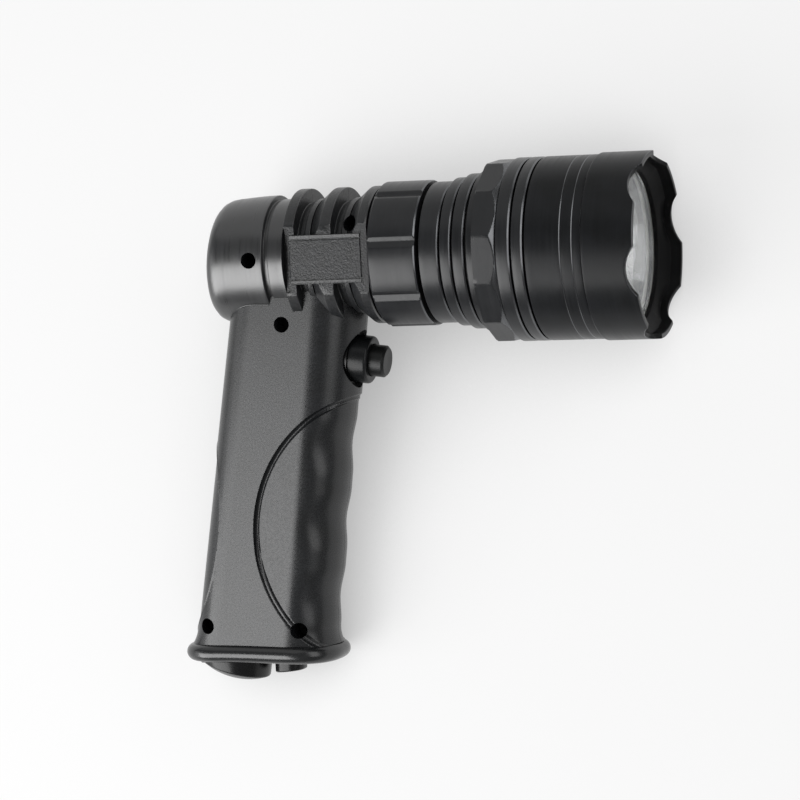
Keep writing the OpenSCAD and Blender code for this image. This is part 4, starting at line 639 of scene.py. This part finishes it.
def neckRing():
    n, r, c = neck, neck["radius"], neck["chamfer"]
    start, end = n["start"], n["start"] + n["length"]
    along, down = n["frontChamfer"]
    rear, front = n["flange"]
    corners = [(rear, n["bore"]), (rear, n["flangeRadius"]), (front, n["flangeRadius"]), (front, n["spigot"]),
               (start, n["spigot"]), (start, r - c, 0.25), (start + c, r, 0.25), (end - along, r, 0.1),
               (end, r - down, 0.1), (end, n["sleeve"]), (n["sleeveEnd"], n["sleeve"]),
               (n["sleeveEnd"], n["sleeveBore"]), (n["floor"], n["sleeveBore"]), (n["floor"], n["bore"])]
    pitch = 360 / n["flutes"]

    def flute(u, radius, angle):
        if radius < n["fluteAbove"] or u < start - 0.1 or u > end + 0.1:
            return u, radius
        turn = (math.degrees(angle) - n["turn"] + pitch / 2) % pitch - pitch / 2
        across = radius * math.radians(turn)
        depth = n["fluteDepth"] * max(0, 1 - abs(across) / n["fluteUp" if across > 0 else "fluteLow"])
        return u, min(radius, r - depth)

    ring = turned("fluted_ring", dense(filleted(corners), 2.5), 480, shape=flute)
    settle(ring, "anodisedRing", "body", ["neck_ring"], 24)
    # painted highlight: a bright metal colour on the front-facing chamfer at the ring's front
    dress(ring, "paintedEdgeHighlight", lambda p, normal, outer: outer and end - 1 < p.x < end + 0.05 and facesAhead(normal))


neckRing()

# finned head with its twelve-sided collar

head = {"fins": ((52.15, 58.3), (59.25, 62.6), (63.6, 67.2), (68.4, 71.0)), "neck": 21.9, "step": 1.05, "groove": 1.4,
        "collar": 28.4, "collarEdge": 0.3, "bevelStart": 76.4, "bevelEnd": 78.8, "bevel": 1.5, "sides": 12,
        "collarTurn": 11.8, "facetAbove": 26, "radius": 28.3, "lands": ((78.8, 83.0), (83.75, 87.2)),
        "tube": (87.95, 105.7), "tubeGap": 0.15, "grooveDepth": 2.0, "chamfer": (0.5, 0.32), "lines": (6.9, 3.1),
        "lineWidth": 0.6, "lineDepth": 0.14, "lineSlopes": (0.24, 0.1), "edge": 0.22, "throat": 18.5, "thread": 27,
        "threadLength": 6.9, "bore": 24, "wall": (66.6, 70.5), "hole": 14}


def headShell():
    h, e, r = head, head["edge"], head["radius"]
    along, down = h["chamfer"]
    corners = [(h["fins"][0][0], h["throat"])]
    for k, (start, stop) in enumerate(h["fins"]):
        fin = h["neck"] + h["step"] * k
        corners.append((start, fin, e))
        if k < len(h["fins"]) - 1:
            ahead, low = h["fins"][k + 1][0], fin - h["groove"]
            corners += [(stop - along, fin, 0.1), (stop, fin - down, 0.1), (stop, low, 0.1), (ahead, low, 0.1)]
    collarStart, collarEnd, collar = h["fins"][-1][1], h["bevelEnd"], h["collar"]
    corners += [(collarStart, fin, 0.1), (collarStart, collar - h["collarEdge"]),
                (collarStart + h["collarEdge"], collar), (h["bevelStart"], collar), (collarEnd, collar - h["bevel"]),
                (collarEnd + 0.05, r, e)]
    low = r - h["grooveDepth"]
    for stop, ahead in zip((h["lands"][0][1], h["lands"][1][1]), (h["lands"][1][0], h["tube"][0])):
        corners += [(stop - along, r, 0.1), (stop, r - down, 0.1), (stop, low, 0.15), (ahead, low, 0.15), (ahead, r, e)]
    end = h["tube"][1]
    fall, climb = h["lineSlopes"]
    for line in h["lines"]:
        a, b = end - line, end - line + h["lineWidth"]
        corners += [(a, r, 0.04), (a + fall, r - h["lineDepth"]), (b - climb, r - h["lineDepth"]), (b, r, 0.04)]
    tip, thread = end - h["tubeGap"], end - h["threadLength"]
    wallRear, wallFront = h["wall"]
    corners += [(tip, r, e), (tip, h["thread"]), (thread, h["thread"]), (thread, h["bore"]), (collarEnd, h["bore"]),
                (wallFront, h["hole"]), (wallRear, h["hole"]), (wallRear, h["throat"])]
    flat = collar * math.cos(math.pi / h["sides"])
    pitch = 360 / h["sides"]

    def faceted(u, radius, angle):
        if collarStart - 0.01 < u < collarEnd + 0.02 and radius > h["facetAbove"]:
            turn = (math.degrees(angle) - h["collarTurn"]) % pitch - pitch / 2
            radius = min(radius, flat / math.cos(math.radians(turn)))
        return u, radius

    line = dense(filleted(corners, 4), 1.5)
    fine = []
    for a, b in zip(line, line[1:]):
        inBevel = h["bevelStart"] - 0.1 < a.x < collarEnd + 0.1 and a.y > h["facetAbove"]
        fine += dense([a, b], 0.24 if inBevel else 5)[:-1]
    shell = turned("finned_head", fine + [line[-1]], 360, shape=faceted)
    settle(shell, "anodisedHead", "body", ["head_shell"], 20)
    dress(shell, "anodisedRing", lambda p, normal, outer: outer and p.x < h["tube"][0])
    # painted highlight: a bright metal colour on the front-facing edges of the head
    dress(shell, "paintedEdgeHighlight", lambda p, normal, outer: outer and facesAhead(normal))


headShell()

# bezel with its scalloped rim

bezel = {"start": 105.7, "tip": 121.9, "radius": 28.8, "tooth": 27.2, "opening": 23.4, "mouth": 3.5, "lip": 114.15,
         "lipWidth": 1.4, "skirt": 6.6, "skirtBore": 25.5, "skirtRadius": 26.8, "scallops": 6, "width": 16,
         "depth": 2.8, "reach": 7, "blend": (6.5, 0.9), "turn": 46, "edge": 0.3, "cutFrom": 4}


def bezelRing():
    b, e, r, tip = bezel, bezel["edge"], bezel["radius"], bezel["tip"]
    arc = (b["width"] ** 2 / 4 + b["depth"] ** 2) / (2 * b["depth"])
    rear = b["start"] - b["skirt"]
    corners = [(rear, b["skirtBore"]), (rear, b["skirtRadius"]), (b["start"], b["skirtRadius"]), (b["start"], r, 0.35),
               (tip, r, e), (tip, b["tooth"], e), (tip - b["mouth"], b["tooth"], 0.5),
               (b["lip"] + b["lipWidth"], b["opening"], 0.4), (b["lip"], b["opening"]), (b["lip"], b["skirtBore"])]
    pitch = 360 / b["scallops"]
    far, near = b["blend"]

    def scallop(u, radius, angle):
        if u < tip - b["reach"] or radius < b["opening"] - 0.1:
            return u, radius
        turn = (math.degrees(angle) - b["turn"]) % pitch
        across = r * math.radians(min(turn, pitch - turn))
        if across >= b["width"] / 2:
            return u, radius
        cut = b["depth"] - (arc - math.sqrt(arc ** 2 - across ** 2))
        return u - cut * ease(u, tip - far, tip - near), radius

    ring = turned("scalloped_bezel", dense(filleted(corners), 0.6), 360, shape=scallop)
    settle(ring, "anodisedHead", "body", ["bezel_ring"], 26)
    # painted shade: the inner faces of the bezel take a darker colour than the outside
    dress(ring, "paintedShadeInside", lambda p, normal, outer: not outer and normal.x < 0.98)
    # painted highlight: a bright metal colour on the front-facing edges near the rim
    dress(ring, "paintedEdgeHighlight", lambda p, normal, outer: outer and p.x > tip - b["cutFrom"] and facesAhead(normal))


bezelRing()

# optics: flat glass, and a bowl with its focus on the emitter

optics = {"glassFront": 114.1, "glassThick": 1.95, "glassRadius": 25.3, "glassEdge": 0.3, "rim": 111.3, "rimThick": 1,
          "mirrorRadius": 24.1, "rear": 73.05, "focus": 73.35, "wall": 1.2, "steps": 60}


def lensAndMirror():
    o = optics
    back, front, r, e = o["glassFront"] - o["glassThick"], o["glassFront"], o["glassRadius"], o["glassEdge"]
    glass = turned("glass_disc", filleted([(back, 0), (back, r, e), (front, r, e), (front, 0)]), 160)
    settle(glass, "floatGlass", "body", ["front_lens"], 40)
    reach = o["rim"] - o["focus"]
    focal = (math.sqrt(reach ** 2 + o["mirrorRadius"] ** 2) - reach) / 2
    vertex = o["focus"] - focal
    bowl = [o["rear"] + (o["rim"] - o["rear"]) * (k / o["steps"]) ** 2 for k in range(o["steps"] + 1)]
    inner = [Vector((u, math.sqrt(4 * focal * (u - vertex)))) for u in bowl]
    outer = [Vector((p.x, p.y + o["wall"])) for p in reversed(inner[:-4])]
    rimBack = o["rim"] - o["rimThick"]
    rim = [Vector((o["rim"], r)), Vector((rimBack, r)), Vector((rimBack, inner[-4].y + o["wall"]))]
    mirror = turned("mirror_bowl", inner + rim + outer, 192)
    settle(mirror, "silveredBowl", "body", ["reflector"], 40)


lensAndMirror()
print("head made")

# push switch, along its own axis

push = {"collarStart": -2.53, "collarEnd": 3.57, "collarRadius": 7.5, "collarRound": 1.1, "mouth": 1.2, "barrel": 5.95,
        "block": -13.73, "bore": 5.06, "buttonEnd": 8.47, "buttonOut": 4.9, "buttonIn": 7.3, "button": 5.0,
        "chamfer": 0.75, "dish": 0.12, "stem": 1.8, "stemLength": 11.5}


def pushSwitch():
    p = push
    corners = [(p["block"], p["bore"]), (p["block"], p["barrel"]), (p["collarStart"], p["barrel"]),
               (p["collarStart"], p["collarRadius"], 0.3), (p["collarEnd"], p["collarRadius"], p["collarRound"]),
               (p["collarEnd"], p["bore"] + 0.02, 0.25), (p["collarEnd"] - p["mouth"], p["bore"])]
    collar = turned("switch_collar_piece", filleted(corners, 8), 128, aim=switchTurn)
    settle(collar, "anodisedCollar", "body", ["switch_collar"], 30)
    end, r, c = p["buttonEnd"], p["button"], p["chamfer"]
    rear = end - p["buttonOut"] - p["buttonIn"]
    corners = [(rear - p["stemLength"], 0), (rear - p["stemLength"], p["stem"], 0.2), (rear, p["stem"]), (rear, r, 0.2),
               (end - c, r, 0.15), (end, r - c, 0.2), (end - p["dish"], 0)]
    button = turned("push_button", dense(filleted(corners), 2), 128, aim=switchTurn)
    settle(button, "buttonNylon", "button", ["switch_button"], 30)


pushSwitch()
print("switch made")

# foot: glossy cap with a bead, rubber cover and lug

foot = {"bead": 2.7, "rear": -37.098, "frontOver": 1.6, "half": 16.4, "level": -123.2, "corner": 12.3, "points": 240,
        "square": 0.8, "drop": 1.1, "dropFrom": -25, "dropTo": 14, "land": 3.5, "lip": 0.3, "socket": -16.4,
        "socketRadius": 5.4, "socketDepth": 2.0, "socketHole": 4.2}


def footOutline(inset):
    f = foot
    front = frontEdge(grip["foot"]) + f["frontOver"]
    half, corner = f["half"] - inset, f["corner"] - inset
    cx, rx = front - f["half"], f["rear"] + f["corner"]
    path = []
    for t in quarter(60):
        path.append(Vector((cx + half * math.cos(t) ** f["square"], half * math.sin(t) ** f["square"])))
    for t in quarter(30):
        path.append(Vector((rx - corner * math.sin(t), half - corner + corner * math.cos(t))))
    path.append(Vector((rx - corner, 0)))
    path += [Vector((p.x, -p.y)) for p in reversed(path[1:-1])]
    path.append(path[0])
    lengths = [0]
    for a, b in zip(path, path[1:]):
        lengths.append(lengths[-1] + (b - a).length)
    out, i = [], 0
    for k in range(f["points"]):  # even steps along the outline
        goal = lengths[-1] * k / f["points"]
        while lengths[i + 1] < goal:
            i += 1
        out.append(path[i].lerp(path[i + 1], (goal - lengths[i]) / max(1e-9, lengths[i + 1] - lengths[i])))
    return out


def footCap():
    f = foot
    level, bead = f["level"], f["bead"]
    hub = Vector((f["socket"], 0))
    edge = footOutline(bead)
    across = [(p - hub).normalized() for p in edge]

    def ringAt(y, spots):
        return [(p.x, y - f["drop"] * ease(p.x, f["dropFrom"], f["dropTo"]), p.y) for p in spots]

    def socketRing(y, radius):
        return ringAt(level + y, [hub + d * radius for d in across])

    rings = [socketRing(bead, f["socketHole"]), ringAt(level + bead, footOutline(bead + f["land"]))]
    for k in range(21):
        t = math.pi * k / 20
        rings.append(ringAt(level + bead * math.cos(t), footOutline(bead - bead * math.sin(t))))
    mouth = [hub + d * (f["socketRadius"] + f["lip"]) for d in across]
    for share in (0.25, 0.5, 0.75, 1.0):
        rings.append(ringAt(level - bead, [p.lerp(m, share) for p, m in zip(edge, mouth)]))
    rings.append(socketRing(f["lip"] - bead, f["socketRadius"]))
    rings.append(socketRing(f["socketDepth"] - bead, f["socketRadius"]))
    rings.append(socketRing(f["socketDepth"] - bead, f["socketHole"]))
    rings.append(rings[0])
    cap = fromRings("beaded_cap", [list(column) for column in zip(*rings)])
    settle(cap, "polishedAbs", "body", ["base_cap"], 30)


footCap()

cover = {"x": -22.8, "top": -126.1, "low": -133.2, "radius": 11.5, "taper": 1.2, "depth": 7.3, "dome": 22, "lean": 5.2,
         "cut": -30.75, "round": 0.9, "rimRound": 0.35, "segments": 120, "hinge": (-32.75, -126.75), "strap": 0.65,
         "strapHalf": 4.5, "strapIn": 3.2, "stub": 4.2, "socket": -16.4, "stubTop": -125.2, "stubSink": 1.2}


def coverEdge(way, radius):  # the rear of the cover is cut straight
    room = cover["x"] - cover["cut"]
    return room / -way.x if way.x < 0 and radius * -way.x > room else radius


def coverDome(way, radius):
    dx, dz = way.x * radius - cover["lean"], way.y * radius
    return cover["low"] + cover["dome"] - math.sqrt(cover["dome"] ** 2 - dx * dx - dz * dz)


def portCover():
    c = cover
    rings = []
    for way in (Vector(w) for w in roundWays(c["segments"])):
        rim = wall = coverEdge(way, c["radius"])
        for again in range(12):  # closes in on where the tapered wall meets the dome
            deep = c["top"] - coverDome(way, wall)
            wall = coverEdge(way, c["radius"] - c["taper"] * deep / c["depth"])
        inner = [wall * (1 - s / 14) for s in range(3, 14)]
        corners = [(0, c["top"]), (rim, c["top"], c["rimRound"]), (wall, coverDome(way, wall), c["round"]),
                   (inner[0], coverDome(way, inner[0]))]
        profile = filleted(corners, 6)[:-1] + [Vector((r, coverDome(way, r))) for r in inner + [0]]
        rings.append([(c["x"] + way.x * p.x, p.y, way.y * p.x) for p in profile])
    piece = fromRings("rubber_cover", rings)
    hx, hy = c["hinge"]
    s, deep = c["strap"], hx + c["strapIn"]
    outline = [(deep, hy + s), (hx, hy + s)]
    outline += [(hx - s * math.sin(math.pi * k / 10), hy + s * math.cos(math.pi * k / 10)) for k in range(1, 10)]
    outline += [(hx, hy - s), (deep, hy - s)]
    strap = [[(x, y, z) for x, y in outline] for z in (-c["strapHalf"], c["strapHalf"])]
    combine(piece, fromRings("strap", strap, loop=False, capEnds=True), "UNION")
    stub = [[(c["socket"] + c["stub"] * x, y, c["stub"] * z) for x, z in roundWays(64)]
            for y in (c["top"] - c["stubSink"], c["stubTop"])]
    combine(piece, fromRings("stub", stub, loop=False, capEnds=True), "UNION")
    settle(piece, "mouldedRubber", "cover", ["port_cover"], 38)


portCover()

lug = {"x": -9.3, "top": -125.9, "length": 9.6, "half": 5, "height": 5.0, "rise": 0.8, "round": 0.6, "corner": 4.2}


def baseLug():
    g = lug
    outline = [(0, 0), (g["length"], 0), (g["length"], g["rise"] - g["height"]), (0, -g["height"])]
    rings = [[(g["x"] + x, g["top"] + y, z) for x, y in outline] for z in (-g["half"], g["half"])]
    piece = fromRings("base_lug_piece", rings, loop=False, capEnds=True)
    mesh = bmesh.new()
    mesh.from_mesh(piece.data)
    upright = [e for e in mesh.edges if abs(e.verts[0].co.y - e.verts[1].co.y) > 1e-3]
    bmesh.ops.bevel(mesh, geom=upright, offset=g["corner"] * mm, segments=12, profile=0.5, affect="EDGES")
    low = [e for e in mesh.edges if max(v.co.y for v in e.verts) < (g["top"] + axisPlace.y - 0.5) * mm]
    bmesh.ops.bevel(mesh, geom=low, offset=g["round"] * mm, segments=5, profile=0.5, affect="EDGES")
    mesh.to_mesh(piece.data)
    mesh.free()
    settle(piece, "mouldedRubber", "body", ["base_lug"], 30)


baseLug()
print("foot made")

# floor: the tilted sheet that the bezel and the foot lie on

stage = {"tilt": 5.81, "size": 6.0, "below": 0.0002, "paper": ("#f1f1f1", "#f4f4f4"), "mottle": 6.0, "rough": 0.9,
         "gloss": 0.2, "white": 0.9, "share": 0.84, "shade": 0.3, "reach": 0.07, "open": 0.8}


def paperSweep():  # matte white card: pale all over, with a soft shade under the object that is mostly painted into its glow
    s = stage
    material = bpy.data.materials.new("paperSweep")
    material.use_nodes = True
    tree = material.node_tree
    tree.nodes.clear()
    spot = node(tree, "ShaderNodeTexCoord").outputs["Object"]
    mottle = node(tree, "ShaderNodeTexNoise", None, {"Scale": s["mottle"], "Detail": 2.0}, {"Vector": spot})
    dark, light = s["paper"]
    tone = node(tree, "ShaderNodeMix", {"data_type": "RGBA"}, {6: linear(dark), 7: linear(light)},
                {0: mottle.outputs["Fac"]})
    paper = node(tree, "ShaderNodeBsdfPrincipled", None, {"Roughness": s["rough"], "Specular IOR Level": s["gloss"]},
                 {"Base Color": tone.outputs[2]})
    # painted shadow: the white glow that the camera sees is dimmed by occlusion near the object, standing in for most
    # of the shade under it
    near = node(tree, "ShaderNodeAmbientOcclusion", {"samples": 16}, {"Distance": s["reach"]})
    level = node(tree, "ShaderNodeMapRange", None, {"From Max": s["open"], "To Min": s["shade"], "To Max": s["white"]},
                 {"Value": near.outputs["AO"]})
    plain = node(tree, "ShaderNodeEmission", None, {"Color": linear("#ffffff")}, {"Strength": level.outputs["Result"]})
    path = node(tree, "ShaderNodeLightPath")
    seen = node(tree, "ShaderNodeMath", {"operation": "MAXIMUM"}, None,
                {0: path.outputs["Is Camera Ray"], 1: path.outputs["Is Glossy Ray"]})
    seen = node(tree, "ShaderNodeMath", {"operation": "MAXIMUM"}, None,
                {0: seen.outputs[0], 1: path.outputs["Is Transmission Ray"]})
    share = node(tree, "ShaderNodeMath", {"operation": "MULTIPLY"}, {1: s["share"]}, {0: seen.outputs[0]})
    both = node(tree, "ShaderNodeMixShader", None, None,
                {0: share.outputs[0], 1: paper.outputs["BSDF"], 2: plain.outputs["Emission"]})
    node(tree, "ShaderNodeOutputMaterial", None, None, {"Surface": both.outputs["Shader"]})
    return material


def makeFloor():
    mesh = bmesh.new()
    half = stage["size"] / 2
    for x, y in ((-half, -half), (half, -half), (half, half), (-half, half)):
        mesh.verts.new((x, y, 0))
    mesh.faces.new(mesh.verts)
    floor = toObject("floor", mesh)
    beam = Matrix.Translation((0, axisPlace.y * mm, axisPlace.z * mm))
    tilt = Matrix.Rotation(-math.radians(stage["tilt"]), 4, "X")
    floor.matrix_world = beam @ tilt @ Matrix.Translation((0, 0, -bezel["radius"] * mm - stage["below"]))
    floor.data.materials.append(paperSweep())


makeFloor()

# lamps, room and camera

lights = {
    "key": {"from": (-0.594, -0.383, 0.708), "away": 0.85, "size": (0.83, 0.67), "watts": 11.0},
    "side": {"from": (0.724, 0.326, 0.608), "away": 0.9, "size": (0.45, 1.17), "watts": 3.1},
    "left": {"from": (-0.93, -0.2, 0.3), "away": 0.9, "size": (0.4, 0.8), "watts": 1.4},
    "top": {"from": (-0.3, 0.88, 0.36), "away": 1.0, "size": (1.2, 0.8), "watts": 1.6},
}
lampAim = Vector((0, 0, 0.02))  # metres
for name, lamp in lights.items():
    data = bpy.data.lights.new(name, "AREA")
    data.shape = "RECTANGLE"
    data.size, data.size_y = lamp["size"]
    data.energy = lamp["watts"]
    thing = bpy.data.objects.new(name, data)
    bpy.context.scene.collection.objects.link(thing)
    way = Vector(lamp["from"]).normalized()
    side = Vector((0, 1, 0)).cross(way).normalized()  # edges of the lamps lie along the beam and the grip
    turn = Matrix((side, way.cross(side), way)).transposed().to_4x4()
    thing.matrix_world = Matrix.Translation(way * lamp["away"] + lampAim) @ turn

room = {"light": 0.25, "backdrop": 0.8}
world = bpy.data.worlds.new("studio")
bpy.context.scene.world = world
world.use_nodes = True
tree = world.node_tree
back = tree.nodes["Background"]
back.inputs["Color"].default_value = (1, 1, 1, 1)
path = node(tree, "ShaderNodeLightPath")
wall = node(tree, "ShaderNodeMath", {"operation": "MULTIPLY"}, {1: room["backdrop"]},
            {0: path.outputs["Is Camera Ray"]})
seen = node(tree, "ShaderNodeMath", {"operation": "MAXIMUM"}, None,
            {0: wall.outputs[0], 1: path.outputs["Is Transmission Ray"]})  # glass and mirror show a white room
level = node(tree, "ShaderNodeMath", {"operation": "MAXIMUM"}, {1: room["light"]}, {0: seen.outputs[0]})
tree.links.new(level.outputs[0], back.inputs["Strength"])

eye = {"place": (477.9, 57.14, 1279.66), "right": (0.9453, -0.05044, -0.32212), "up": (0.0232, 0.99588, -0.08796),
       "back": (0.3253, 0.07571, 0.94259), "lens": 195.75, "sensor": 36, "clip": (0.05, 30)}
data = bpy.data.cameras.new("camera")
data.lens, data.sensor_width = eye["lens"], eye["sensor"]
data.clip_start, data.clip_end = eye["clip"]
camera = bpy.data.objects.new("camera", data)
bpy.context.scene.collection.objects.link(camera)
turn = Matrix((eye["right"], eye["up"], eye["back"])).transposed().to_4x4()
camera.matrix_world = Matrix.Translation(place(*eye["place"])) @ turn
bpy.context.scene.camera = camera
bpy.context.scene.view_settings.view_transform = "Standard"
print("stage, light and camera set")
